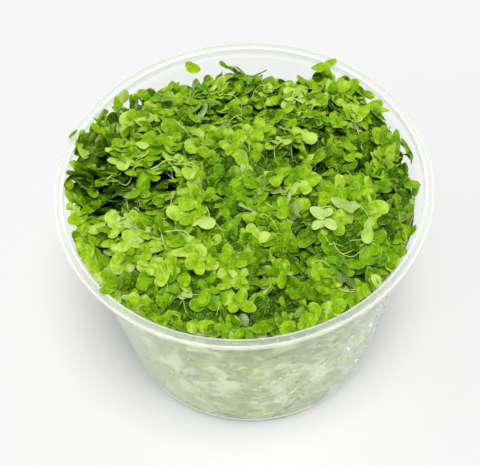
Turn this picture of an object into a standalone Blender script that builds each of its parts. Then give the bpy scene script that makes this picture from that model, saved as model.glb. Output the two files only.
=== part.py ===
"""Duckweed heaped in a clear round cup, at real size.

Metres, +Z up, origin at the centre of the underside. The pieces are the turned cup, the packed mass of
duckweed inside it, and the separate little plants that lie on the heap and on the cup's rim.
"""

import math

import bmesh
import bpy
from mathutils import Matrix, Vector
from mathutils.bvhtree import BVHTree

MM = 0.001

# Cup: a thin-walled food cup with a stacking foot, a tapered wall, a ledge, a lip and a beaded flange
CUP_HEIGHT = 70.0 * MM
RIM_RADIUS = 50.5 * MM
LIP_RADIUS = 48.0 * MM
LIP_DEPTH = 2.3 * MM
WALL_TOP_RADIUS = 46.5 * MM
WALL = 0.55 * MM
FLANGE = 0.6 * MM
DRAFT = math.radians(5.8)
HEEL_RADIUS = 3.0 * MM
BEAD_RADIUS = 0.5 * MM
BEAD_DROP = 1.1 * MM
RIM_ROUND = 0.4 * MM
LIP_ROUND = 0.3 * MM
PANEL_RISE = 1.0 * MM
PANEL_RADIUS = 33.4 * MM
FOOT_SLOPE = 0.6 * MM
TURNS_AROUND = 60
HEEL_STEPS = 5
BEAD_STEPS = 4
ROUND_STEPS = 2

# Heap: highest near the middle, lowest against the back wall
GAP = 0.34 * MM
HEAP_RINGS = 9
EDGE_DROP = 1.0 * MM
MOUND = 6.2 * MM
MOUND_SHAPE = 0.8

# Rises and dips of the heap's edge: azimuth in degrees, height in millimetres, spread in degrees
EDGE_SWELLS = (
    (98, -6.2, 26),
    (70, -5.0, 9),
    (162, 4.4, 14),
    (192, -2.5, 7),
    (40, 1.0, 8),
    (21, -4.0, 7),
    (2, -2.5, 8),
    (268, -2.0, 12),
    (320, 1.8, 10),
)

# Knolls and hollows of the heap: x, y, height and spread, in millimetres
KNOLLS = (
    (-1, 5, 2.0, 9),
    (-24, 8, 0.8, 7),
    (-35, -2, -2.4, 4.5),
    (13, -28, -2.0, 3.2),
    (-22, -22, 1.2, 8),
    (25, -21, 1.2, 8),
    (31, 3, -1.4, 4),
    (20, 24, 1.0, 9),
    (-8, 21, -1.2, 4),
    (-15, -37, -1.2, 3.5),
)

# Plants: each frond as its bearing in degrees, and its length and width in millimetres
SMALL = ((0, 3.7, 2.5),)
SLIM = ((270, 3.9, 2.5),)
BROAD = ((0, 5.4, 4.1),)
SINGLE = ((0, 4.4, 3.1),)
PAIR = ((0, 5.4, 4.1), (165, 4.6, 3.5))
STANDING = ((90, 5.6, 3.6), (255, 4.6, 3.2))
TRIO = ((0, 5.2, 3.9), (118, 4.6, 3.5), (235, 3.6, 2.9))
SPREAD = ((0, 4.8, 3.7), (215, 4.2, 3.3), (95, 2.4, 2.0))
FAN = ((0, 4.4, 3.1), (285, 5.0, 2.8), (318, 4.4, 2.6))
FOUR = ((20, 4.8, 3.9), (110, 4.2, 3.5), (200, 4.6, 3.8), (295, 3.2, 2.6))
FROND_THICKNESS = 0.8 * MM
JOINT_REACH = 0.84  # the fronds' centres stand this share of their half length from the joint
OUTLINE_POINTS = 28
INNER_RING = 0.6
CLEARANCE = 0.5 * MM
DROP_HEIGHT = 0.12

# Plants on and over the rim: name, x, y in millimetres, heading and tilt in degrees, fronds
RIM_PLANTS = (
    ("rim_plant_back_right", 26.7, 37.2, 183, 4, SPREAD),
    ("rim_plant_front_left", -34.0, -31.0, 180, 6, FAN),
    ("edge_plant_back_left", -12.9, 45.2, 308, 6, BROAD),
    ("edge_plant_back", 2.1, 41.8, 45, 58, STANDING),
    ("edge_plant_left_high", -46.4, 18.2, 135, 50, SLIM),
    ("edge_plant_left_low", -45.6, -0.1, 100, 8, SMALL),
    ("edge_plant_right_high", 44.8, 4.8, 21, 68, STANDING),
    ("edge_plant_right_low", 42.6, -6.4, 8, 8, SINGLE),
)

# Plants lying on the heap: x, y in millimetres, heading and tilt in degrees, fronds
TOP_PLANTS = (
    (19.2, -19.4, 110, 8, FOUR),
    (26.0, -15.2, 140, 6, TRIO),
    (30.0, -22.5, 250, 10, PAIR),
    (-2.0, 4.0, 300, 6, FOUR),
    (-26.5, -4.5, 80, 16, TRIO),
    (-29.5, -19.5, 10, 8, FOUR),
    (-36.4, -11.6, 200, 12, PAIR),
    (-3.5, -38.5, 330, 12, TRIO),
    (30.0, 4.0, 110, 10, TRIO),
    (9.5, 14.5, 220, 12, PAIR),
    (-11.0, 19.0, 40, 14, TRIO),
    (-20.5, 30.5, 150, 16, PAIR),
    (15.0, 30.5, 270, 14, TRIO),
    (-12.5, -11.5, 190, 8, TRIO),
    (9.5, -6.0, 60, 8, PAIR),
    (-13.0, -28.0, 100, 10, FOUR),
)

# Colours as red, green, blue and alpha
CLEAR_PLASTIC = (0.90, 0.93, 0.91, 0.35)
PACKED_GREEN = (0.16, 0.33, 0.02, 1.0)
FROND_GREENS = ((0.20, 0.42, 0.03, 1.0), (0.30, 0.55, 0.06, 1.0), (0.42, 0.62, 0.16, 1.0))


def clear_scene():
    for item in list(bpy.data.objects):
        bpy.data.objects.remove(item, do_unlink=True)


def material(name, colour, roughness, transmission=0.0):
    made = bpy.data.materials.new(name)
    made.use_nodes = True
    shader = made.node_tree.nodes["Principled BSDF"]
    shader.inputs["Base Color"].default_value = colour
    shader.inputs["Roughness"].default_value = roughness
    shader.inputs["Metallic"].default_value = 0.0
    shader.inputs["Transmission Weight"].default_value = transmission
    made.diffuse_color = colour
    return made


def skin(name, rings, first_pole, last_pole, finish):
    """A closed skin: a fan at each pole, and quads between one ring of points and the next."""
    shape = bmesh.new()
    loops = [[shape.verts.new(point) for point in ring] for ring in rings]
    for loop, following in zip(loops, loops[1:]):
        for i in range(len(loop)):
            j = (i + 1) % len(loop)
            shape.faces.new((loop[i], loop[j], following[j], following[i]))
    for loop, pole in ((loops[0], first_pole), (loops[-1], last_pole)):
        tip = shape.verts.new(pole)
        for i in range(len(loop)):
            shape.faces.new((loop[i], loop[(i + 1) % len(loop)], tip))
    bmesh.ops.recalc_face_normals(shape, faces=shape.faces)
    bmesh.ops.triangulate(shape, faces=shape.faces)
    mesh = bpy.data.meshes.new(name)
    shape.to_mesh(mesh)
    shape.free()
    mesh.materials.append(finish)
    mesh.shade_smooth()
    mesh.set_sharp_from_angle(angle=math.radians(40))
    made = bpy.data.objects.new(name, mesh)
    bpy.context.scene.collection.objects.link(made)
    return made


def circle(radius, height, turns=TURNS_AROUND):
    angles = [2 * math.pi * k / turns for k in range(turns)]
    return [(radius * math.cos(a), radius * math.sin(a), height) for a in angles]


def arc(centre, radius, start, end, steps):
    """Points on an arc in the plane of radius and height, from one angle to the other."""
    angles = [start + (end - start) * k / steps for k in range(steps + 1)]
    return [(centre[0] + radius * math.cos(a), centre[1] + radius * math.sin(a)) for a in angles]


def ledge_height():
    return CUP_HEIGHT - LIP_DEPTH


def wall_top():
    """Where the outer wall meets the underside of the ledge."""
    return ledge_height() - WALL


def heel_centre():
    """Centre of the heel's arc, so that the wall leaves it at the draft angle and reaches its top radius."""
    leave = HEEL_RADIUS * (1 - math.sin(DRAFT))
    radius = WALL_TOP_RADIUS - (wall_top() - leave) * math.tan(DRAFT) - HEEL_RADIUS * math.cos(DRAFT)
    return radius, HEEL_RADIUS


def inner_radius(height):
    """Radius of the cup's inner wall at a height above the heel."""
    return WALL_TOP_RADIUS - WALL / math.cos(DRAFT) - (wall_top() - height) * math.tan(DRAFT)


def cup_profile():
    """The cup's section, from under its middle, up the outside, over the flange and down to the floor."""
    centre = heel_centre()
    ledge = ledge_height()
    skirt = LIP_RADIUS + WALL
    flange_under = CUP_HEIGHT - FLANGE
    bead = (RIM_RADIUS - BEAD_RADIUS, CUP_HEIGHT - BEAD_DROP)
    corner = (RIM_RADIUS - RIM_ROUND, CUP_HEIGHT - RIM_ROUND)
    inner_top = ledge - LIP_ROUND
    outside = [(PANEL_RADIUS, PANEL_RISE), (PANEL_RADIUS + FOOT_SLOPE, 0.0)]
    outside += arc(centre, HEEL_RADIUS, -math.pi / 2, -DRAFT, HEEL_STEPS)
    outside += [(WALL_TOP_RADIUS, wall_top()), (skirt - LIP_ROUND, wall_top()), (skirt, wall_top() + LIP_ROUND)]
    outside += [(skirt, flange_under), (bead[0] - BEAD_RADIUS, flange_under)]
    outside += arc(bead, BEAD_RADIUS, math.pi, 2 * math.pi, BEAD_STEPS)
    outside += arc(corner, RIM_ROUND, 0.0, math.pi / 2, ROUND_STEPS)
    inside = [(LIP_RADIUS + LIP_ROUND, CUP_HEIGHT), (LIP_RADIUS, CUP_HEIGHT - LIP_ROUND)]
    inside += [(LIP_RADIUS, ledge + LIP_ROUND), (LIP_RADIUS - LIP_ROUND, ledge)]
    inside += [(inner_radius(inner_top) + LIP_ROUND, ledge), (inner_radius(inner_top), inner_top)]
    inside += arc(centre, HEEL_RADIUS - WALL, -DRAFT, -math.pi / 2, HEEL_STEPS - 1)
    inside += [(PANEL_RADIUS + FOOT_SLOPE + WALL, WALL), (PANEL_RADIUS + WALL, PANEL_RISE + WALL)]
    return outside + inside


def make_cup():
    rings = [circle(radius, height) for radius, height in cup_profile()]
    finish = material("clear_plastic", CLEAR_PLASTIC, 0.15, 0.9)
    return skin("cup", rings, (0, 0, PANEL_RISE), (0, 0, PANEL_RISE + WALL), finish)


def heap_edge(azimuth):
    """Height at which the heap meets the wall: a bell-shaped rise or dip about each azimuth."""
    height = CUP_HEIGHT - EDGE_DROP
    for middle, rise, spread in EDGE_SWELLS:
        off = (math.degrees(azimuth) - middle + 180) % 360 - 180
        height += rise * MM * math.exp(-(off / spread) ** 2 / 2)
    return height


def heap_radius():
    return inner_radius(ledge_height() - LIP_ROUND) - GAP


def heap_rim(azimuth):
    """Radius at which the heap's surface meets the wall, which tapers below the ledge."""
    return inner_radius(min(heap_edge(azimuth), ledge_height() - LIP_ROUND)) - GAP


def heap_height(x, y):
    """Height of the heap: a dome on a tilted edge, with a bell-shaped swell or dip for each knoll."""
    share = min(1.0, math.hypot(x, y) / heap_radius())
    height = heap_edge(math.atan2(y, x)) * share + (CUP_HEIGHT - EDGE_DROP) * (1 - share)
    height += MOUND * (1 - share * share) ** MOUND_SHAPE
    for knoll_x, knoll_y, swell, spread in KNOLLS:
        far = math.hypot(x - knoll_x * MM, y - knoll_y * MM) / (spread * MM)
        height += swell * MM * math.exp(-far * far / 2) * (1 - share ** 4)
    return height


def heap_normal(x, y):
    step = 2 * MM
    slope_x = (heap_height(x + step, y) - heap_height(x - step, y)) / (2 * step)
    slope_y = (heap_height(x, y + step) - heap_height(x, y - step)) / (2 * step)
    return Vector((-slope_x, -slope_y, 1)).normalized()


def make_heap():
    """The packed duckweed, which fills the cup and reaches the tips of the fronds on top."""
    floor = PANEL_RISE + WALL + GAP
    centre_radius, centre_height = heel_centre()
    hollow = HEEL_RADIUS - WALL - GAP
    foot = centre_radius + math.sqrt(hollow ** 2 - (centre_height - floor) ** 2)
    rings = [circle(foot, floor), circle(inner_radius(centre_height) - GAP, centre_height)]
    angles = [2 * math.pi * k / TURNS_AROUND for k in range(TURNS_AROUND)]
    for k in range(HEAP_RINGS):
        share = 1 - k / HEAP_RINGS
        flat = [(share * heap_rim(a) * math.cos(a), share * heap_rim(a) * math.sin(a)) for a in angles]
        rings.append([(x, y, heap_height(x, y)) for x, y in flat])
    finish = material("packed_duckweed", PACKED_GREEN, 0.6)
    return skin("duckweed_mass", rings, (0, 0, floor), (0, 0, heap_height(0, 0)), finish)


def frond_reach(angle, frond):
    """Distance from the plant's joint to the edge of one oval frond, along a direction in its plane."""
    bearing, length, width = frond
    half, side = length * MM / 2, width * MM / 2
    centre = JOINT_REACH * half
    turn = angle - math.radians(bearing)
    a = (math.cos(turn) / half) ** 2 + (math.sin(turn) / side) ** 2
    b = -2 * centre * math.cos(turn) / half ** 2
    c = (centre / half) ** 2 - 1
    return (-b + math.sqrt(b * b - 4 * a * c)) / (2 * a)


def plant_rings(fronds):
    """Rings of a flat plant about its joint: the fronds' joint outline, and a smaller ring each side of it."""
    angles = [2 * math.pi * k / OUTLINE_POINTS for k in range(OUTLINE_POINTS)]
    reach = [max(frond_reach(a, frond) for frond in fronds) for a in angles]
    half = FROND_THICKNESS / 2
    rings = []
    for share, height in ((INNER_RING, -half), (1.0, 0.0), (INNER_RING, half)):
        rings.append([(share * r * math.cos(a), share * r * math.sin(a), height) for a, r in zip(angles, reach)])
    return rings, (0, 0, -half), (0, 0, half)


def lay(plant, x, y, heading, tilt, normal, support):
    """Turns a plant to its heading and tilt, and lets it down until it clears what lies below it."""
    lean = Vector((0, 0, 1)).rotation_difference(normal).to_matrix().to_4x4()
    turn = Matrix.Rotation(math.radians(heading), 4, "Z") @ Matrix.Rotation(math.radians(tilt), 4, "Y")
    placed = Matrix.Translation((x, y, DROP_HEIGHT)) @ lean @ turn
    fall = DROP_HEIGHT
    for vertex in plant.data.vertices:
        start = placed @ vertex.co
        hit = support.ray_cast(start, Vector((0, 0, -1)))
        if hit[0] is not None:
            fall = min(fall, hit[3])
    plant.matrix_world = Matrix.Translation((0, 0, CLEARANCE - fall)) @ placed


def support_of(pieces):
    """One search tree over the pieces that the plants lie on."""
    points, faces = [], []
    for piece in pieces:
        first = len(points)
        points += [vertex.co.copy() for vertex in piece.data.vertices]
        faces += [[first + i for i in face.vertices] for face in piece.data.polygons]
    return BVHTree.FromPolygons(points, faces)


def make_plants(support):
    greens = [material(f"frond_{k}", colour, 0.4) for k, colour in enumerate(FROND_GREENS)]
    named = list(RIM_PLANTS)
    named += [(f"top_plant_{k:02d}", *plant) for k, plant in enumerate(TOP_PLANTS, 1)]
    for k, (name, x, y, heading, tilt, fronds) in enumerate(named):
        rings, low, high = plant_rings(fronds)
        plant = skin(name, rings, low, high, greens[k % len(greens)])
        x, y = x * MM, y * MM
        on_heap = name.startswith("top_plant")
        normal = heap_normal(x, y) if on_heap else Vector((0, 0, 1))
        lay(plant, x, y, heading, tilt, normal, support)


def main():
    clear_scene()
    cup = make_cup()
    heap = make_heap()
    make_plants(support_of((cup, heap)))
    bpy.context.view_layer.update()


main()
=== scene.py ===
"""Duckweed heaped in a clear round cup: the finished cup, every small plant, the roots and the water drops.

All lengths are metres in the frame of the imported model: +Z up, origin at the centre of the cup's underside.
Each surface is worked out as whole arrays from two parameters, or as a profile carried round or along a path.
"""

from __future__ import annotations

import logging
import math
from dataclasses import dataclass, field
from enum import Enum
from typing import ClassVar

import bpy
import numpy as np
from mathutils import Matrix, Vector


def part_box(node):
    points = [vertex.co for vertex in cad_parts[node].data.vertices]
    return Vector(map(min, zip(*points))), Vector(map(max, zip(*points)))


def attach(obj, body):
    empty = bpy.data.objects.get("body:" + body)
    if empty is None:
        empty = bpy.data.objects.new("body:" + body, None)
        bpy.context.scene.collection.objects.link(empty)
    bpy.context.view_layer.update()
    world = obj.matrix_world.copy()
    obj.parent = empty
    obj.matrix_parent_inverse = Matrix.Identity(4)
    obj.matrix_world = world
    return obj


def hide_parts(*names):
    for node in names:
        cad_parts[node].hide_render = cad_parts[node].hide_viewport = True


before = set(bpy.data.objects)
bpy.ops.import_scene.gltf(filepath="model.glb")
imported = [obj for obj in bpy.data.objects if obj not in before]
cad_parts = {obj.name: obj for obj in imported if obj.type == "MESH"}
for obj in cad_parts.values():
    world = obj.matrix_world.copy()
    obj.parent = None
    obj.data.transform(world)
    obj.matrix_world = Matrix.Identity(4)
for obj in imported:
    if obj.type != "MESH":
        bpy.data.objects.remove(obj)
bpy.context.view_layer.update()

MM = 0.001
BODY = "root"
SEED = 20
LOG = logging.getLogger("duckweed_cup")

Array = np.ndarray
Colour = tuple[float, float, float, float]
Pair = tuple[float, float]
WHITE = (1.0, 1.0, 1.0, 1.0)


class Value:
    """A number socket. Its operators add Math nodes, so that shader maths reads as an expression."""

    def __init__(self, board: Board, socket: bpy.types.NodeSocket) -> None:
        """Keeps the socket and the board that it is on."""
        self.board = board
        self.socket = socket

    def join(self, operation: str, first: object, second: object = 0.0) -> Value:
        """Adds one Math node.

        Args:
            operation: the Math node's operation.
            first: a Value or a number for its first socket.
            second: a Value or a number for its second socket.

        Returns:
            The node's result.
        """
        node = self.board.node("ShaderNodeMath", {"operation": operation}, {0: first, 1: second})
        return Value(self.board, node.outputs[0])

    def __add__(self, other: object) -> Value:
        """This plus the other."""
        return self.join("ADD", self, other)

    def __radd__(self, other: object) -> Value:
        """The other plus this."""
        return self.join("ADD", other, self)

    def __sub__(self, other: object) -> Value:
        """This minus the other."""
        return self.join("SUBTRACT", self, other)

    def __rsub__(self, other: object) -> Value:
        """The other minus this."""
        return self.join("SUBTRACT", other, self)

    def __mul__(self, other: object) -> Value:
        """This times the other."""
        return self.join("MULTIPLY", self, other)

    def __rmul__(self, other: object) -> Value:
        """The other times this."""
        return self.join("MULTIPLY", other, self)

    def __pow__(self, other: object) -> Value:
        """This to the power of the other."""
        return self.join("POWER", self, other)

    def __abs__(self) -> Value:
        """This without its sign."""
        return self.join("ABSOLUTE", self)

    def least(self, other: object) -> Value:
        """The smaller of this and the other."""
        return self.join("MINIMUM", self, other)

    def most(self, other: object) -> Value:
        """The larger of this and the other."""
        return self.join("MAXIMUM", self, other)

    def sine(self) -> Value:
        """The sine of this, in radians."""
        return self.join("SINE", self)

    def ramp(self, start: float, end: float) -> Value:
        """Rises smoothly from 0 at start to 1 at end, and falls where start is the larger."""
        settings = {"interpolation_type": "SMOOTHSTEP"}
        inputs = {"Value": self, 1: start, 2: end, 3: 0.0, 4: 1.0}
        return Value(self.board, self.board.node("ShaderNodeMapRange", settings, inputs).outputs[0])


class Board:
    """The node tree of one material, and short ways to add to it."""

    def __init__(self, name: str) -> None:
        """Makes the material with an empty tree and its output.

        Args:
            name: the material's name.
        """
        self.material = bpy.data.materials.new(name)
        self.material.use_nodes = True
        self.tree = self.material.node_tree
        self.tree.nodes.clear()
        self.output = self.tree.nodes.new("ShaderNodeOutputMaterial")

    def node(self, kind: str, settings: dict | None = None, inputs: dict | None = None) -> bpy.types.Node:
        """Adds any node: its settings first, then the values or links of its sockets.

        Args:
            kind: the node's type.
            settings: attributes of the node, such as a Math node's operation or a ramp's stops.
            inputs: socket name or number to a Value, a socket or a constant.

        Returns:
            The node.
        """
        made = self.tree.nodes.new(kind)
        for key, setting in (settings or {}).items():
            if key == "stops":
                self.set_stops(made.color_ramp, setting)
            else:
                setattr(made, key, setting)
        for key, given in (inputs or {}).items():
            given = given.socket if isinstance(given, Value) else given
            if isinstance(given, bpy.types.NodeSocket):
                self.tree.links.new(given, made.inputs[key])
            else:
                made.inputs[key].default_value = given
        return made

    @staticmethod
    def set_stops(ramp: bpy.types.ColorRamp, stops: list[tuple[float, Colour]]) -> None:
        """Gives a colour ramp its stops, each a place and a colour."""
        while len(ramp.elements) < len(stops):
            ramp.elements.new(1.0)
        for element, (place, colour) in zip(ramp.elements, stops):
            element.position = place
            element.color = colour

    def place(self) -> bpy.types.NodeSocket:
        """Object coordinates, which are the model's own metres."""
        return self.node("ShaderNodeTexCoord").outputs["Object"]

    def parts_of(self, vector: bpy.types.NodeSocket) -> tuple[Value, Value, Value]:
        """The three numbers of a vector."""
        split = self.node("ShaderNodeSeparateXYZ", None, {0: vector})
        return tuple(Value(self, out) for out in split.outputs)

    def carried(self, name: str) -> tuple[Value, Value, Value]:
        """The three numbers of a vector attribute that the mesh carries."""
        read = self.node("ShaderNodeAttribute", {"attribute_name": name})
        return self.parts_of(read.outputs["Vector"])

    def noise(self, scale: float, detail: float = 3.0, roughness: float = 0.5, rows: float = 1.0) -> Value:
        """Noise on object coordinates.

        Args:
            scale: its scale per metre.
            detail: its octaves.
            roughness: how strong the finer octaves are.
            rows: how many times finer it is in height than across, so that it lies in streaks.

        Returns:
            The noise, 0 to 1 about a mean of a half.
        """
        where = self.node("ShaderNodeMapping", None, {"Vector": self.place(), "Scale": (1.0, 1.0, rows)})
        inputs = {"Vector": where.outputs[0], "Scale": scale, "Detail": detail, "Roughness": roughness}
        return Value(self, self.node("ShaderNodeTexNoise", None, inputs).outputs["Fac"])

    def mix(self, factor: object, first: object, second: object) -> bpy.types.NodeSocket:
        """Mixes two colours.

        Args:
            factor: a Value or number, 0 for the first colour and 1 for the second.
            first: a colour or a colour socket.
            second: a colour or a colour socket.

        Returns:
            The colour socket of the result.
        """
        made = self.node("ShaderNodeMix", {"data_type": "RGBA"}, {0: factor, 6: first, 7: second})
        return made.outputs[2]

    def bump(self, height: Value, distance: float, strength: float = 1.0) -> bpy.types.NodeSocket:
        """A normal raised by a height of 0 to 1 over a distance in metres."""
        inputs = {"Height": height, "Distance": distance, "Strength": strength}
        return self.node("ShaderNodeBump", None, inputs).outputs["Normal"]

    def principled(self, inputs: dict) -> bpy.types.Node:
        """A Principled shader with these values or links."""
        return self.node("ShaderNodeBsdfPrincipled", None, inputs)

    def blend(self, factor: object, first: bpy.types.Node, second: bpy.types.Node) -> bpy.types.Node:
        """A Mix Shader between two shader nodes."""
        return self.node("ShaderNodeMixShader", None, {0: factor, 1: first.outputs[0], 2: second.outputs[0]})

    def lamp_light(self) -> Value:
        """1 for rays towards a lamp, and 0 for all others."""
        return Value(self, self.node("ShaderNodeLightPath").outputs["Is Shadow Ray"])

    def see_through(self, colour: Colour) -> bpy.types.Node:
        """A shader that lets light pass unbent, with a tint."""
        return self.node("ShaderNodeBsdfTransparent", None, {"Color": colour})

    def done(self, shader: bpy.types.Node) -> bpy.types.Material:
        """Joins the last shader to the output and returns the material."""
        self.tree.links.new(shader.outputs[0], self.output.inputs["Surface"])
        return self.material


@dataclass(frozen=True)
class FrondFinish:
    """Living frond: yellow green, paler at its margin, with faint nerves and a moist satin top. The pale
    margin is partly its own colour and partly a painted glow of light through the thin edge, the pale patches
    where it is wet are a painted sheen, and the darker tones given towards its joint and deep in the heap are
    painted shade.

    Widths are in a frond's own oval, where the margin is at 1. A share is how much of a colour is mixed in,
    and a span is where a value of 0 to 1 starts to take effect and where it is full.
    """

    name: str = "frond"
    # The ramp's darker stops also show the painted shade given to fronds deep in the heap and towards their
    # joints.
    deep: Colour = (0.020, 0.078, 0.0002, 1.0)
    middle: Colour = (0.118, 0.275, 0.0003, 1.0)
    bright: Colour = (0.242, 0.430, 0.005, 1.0)
    light: Colour = (0.430, 0.590, 0.110, 1.0)
    # The margin colours paint the pale line at the frond's edge: partly the edge's own colour, partly a
    # painted glow of light through it. pale_margin also colours the ribs of pale fronds.
    margin: Colour = (0.450, 0.610, 0.110, 1.0)
    underside: Colour = (0.230, 0.400, 0.015, 1.0)
    pale: Colour = (0.380, 0.520, 0.130, 1.0)
    pale_margin: Colour = (0.640, 0.740, 0.420, 1.0)
    brown: Colour = (0.140, 0.105, 0.028, 1.0)
    tone_places: tuple[float, ...] = (0.0, 0.38, 0.70, 1.0)
    gloss: float = 0.36
    gloss_stray: float = 0.25
    specular: float = 0.03
    blotch_scale: float = 520.0
    blotch_weight: float = 0.9
    patch_scale: float = 1300.0
    patch_weight: float = 0.6
    painted_joint_shade: float = 0.08
    cell_scale: float = 3800.0
    underside_share: float = 0.45
    # Where the pale patches of painted sheen lie, and how much of the pale colour they mix in
    sheen_patch_span: Pair = (0.59, 0.69)
    sheen_patch_share: float = 0.42
    pale_base: float = 0.15
    pale_blotch: float = 1.1
    margin_start: float = 0.82
    margin_glow_share: float = 0.26
    margin_glow_blotch: float = 0.34
    blotch_span: Pair = (0.46, 0.60)
    nerve_gap: float = 0.42
    nerve_width: float = 0.07
    middle_width: float = 0.06
    nerve_fade: Pair = (1.0, 0.6)
    nerve_share: float = 0.18
    ribs_across: float = 17.0
    ribs_bow: float = 5.0
    ribs_stray: float = 6.0
    rib_span: Pair = (0.2, 0.9)
    rib_share: float = 0.55
    brown_span: Pair = (0.42, 0.6)
    relief: float = 0.06 * MM
    relief_strength: float = 0.6
    glow: float = 0.25
    glow_reach: float = 0.5 * MM
    glow_colours: tuple[float, float, float] = (0.6, 1.0, 0.1)
    wet_span: Pair = (0.60, 0.72)
    wet_share: float = 0.35
    wet_gloss: float = 0.10
    wet_ior: float = 1.33

    def build(self) -> bpy.types.Material:
        """Makes the material.

        The mesh carries frond_spot, a point of the frond in its own oval with 1 at the margin and a third
        number of 1 on top, and frond_tone: how light, how pale and how brown the frond is.

        Returns:
            The material.
        """
        board = Board(self.name)
        along, across, side = board.carried("frond_spot")
        tone, pale, brown = board.carried("frond_tone")
        blotch = board.noise(self.blotch_scale)
        cells = board.noise(self.cell_scale, 2.0)
        patch = board.noise(self.patch_scale, 3.0, 0.6)

        uneven = (blotch - 0.5) * self.blotch_weight + (patch - 0.5) * self.patch_weight
        # Painted shade: each frond's tone is darker towards its joint and lighter towards its tip.
        lightness = tone + uneven + along * self.painted_joint_shade
        stops = list(zip(self.tone_places, (self.deep, self.middle, self.bright, self.light)))
        colour = board.node("ShaderNodeValToRGB", {"stops": stops}, {0: lightness}).outputs["Color"]
        colour = board.mix((1.0 - side) * self.underside_share, colour, self.underside)
        # Painted sheen: pale patches where the wet coat lies, standing in for patchy highlights.
        film = patch.ramp(*self.sheen_patch_span) * self.sheen_patch_share
        paleness = (pale * (self.pale_base + blotch * self.pale_blotch)).most(film).least(1.0)
        colour = board.mix(paleness, colour, self.pale)

        reach = (along * along + across * across) ** 0.5
        edge = reach.ramp(self.margin_start, 1.0)
        wave = abs(abs(across) - self.nerve_gap * (1.0 - along * along * 0.6))
        side_nerves = wave.ramp(self.nerve_width, 0.0)
        middle_nerve = abs(across).ramp(self.middle_width, 0.0)
        nerves = (side_nerves + middle_nerve).least(1.0) * reach.ramp(*self.nerve_fade)
        rows = abs(across) * self.ribs_across + along * along * self.ribs_bow + blotch * self.ribs_stray
        ribs = rows.sine().ramp(*self.rib_span) * pale
        # The margin's pale line is partly the thin edge's own paler colour and partly painted glow of light
        # passing through it.
        margin = edge * (self.margin_glow_share + blotch.ramp(*self.blotch_span) * self.margin_glow_blotch)
        lines = margin.most(nerves * self.nerve_share) * (0.8 + pale * 0.9)
        lines = lines.most(ribs * self.rib_share).least(1.0)
        line_colour = board.mix((pale * 1.5).least(1.0), self.margin, self.pale_margin)
        colour = board.mix(lines, colour, line_colour)
        colour = board.mix(brown * edge * blotch.ramp(*self.brown_span), colour, self.brown)

        height = cells * 0.35 + nerves * 0.5 + blotch * 0.3
        shader = board.principled({
            "Base Color": colour,
            "Roughness": self.gloss + (cells - 0.5) * self.gloss_stray + pale * 0.1,
            "Normal": board.bump(height, self.relief, self.relief_strength),
            "Subsurface Weight": self.glow,
            "Subsurface Radius": self.glow_colours,
            "Subsurface Scale": self.glow_reach,
            "Specular IOR Level": self.specular,
            "Coat Weight": patch.ramp(*self.wet_span) * self.wet_share,
            "Coat Roughness": self.wet_gloss,
            "Coat IOR": self.wet_ior,
        })
        return board.done(shader)


@dataclass(frozen=True)
class RootFinish:
    """Root thread: pale and slightly see-through, greener towards the plant."""

    name: str = "root_thread"
    pale: Colour = (0.540, 0.660, 0.200, 1.0)
    green: Colour = (0.360, 0.540, 0.060, 1.0)
    drift_scale: float = 260.0
    drift_span: Pair = (0.35, 0.65)
    glow_reach: float = 0.3 * MM

    def build(self) -> bpy.types.Material:
        """Makes the material, whose colour drifts along the thread with noise."""
        board = Board(self.name)
        drift = board.noise(self.drift_scale)
        colour = board.mix(drift.ramp(*self.drift_span), self.green, self.pale)
        shader = board.principled({
            "Base Color": colour,
            "Roughness": 0.5 + drift * 0.2,
            "Specular IOR Level": 0.15,
            "Subsurface Weight": 0.2,
            "Subsurface Scale": self.glow_reach,
        })
        return board.done(shader)


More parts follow.
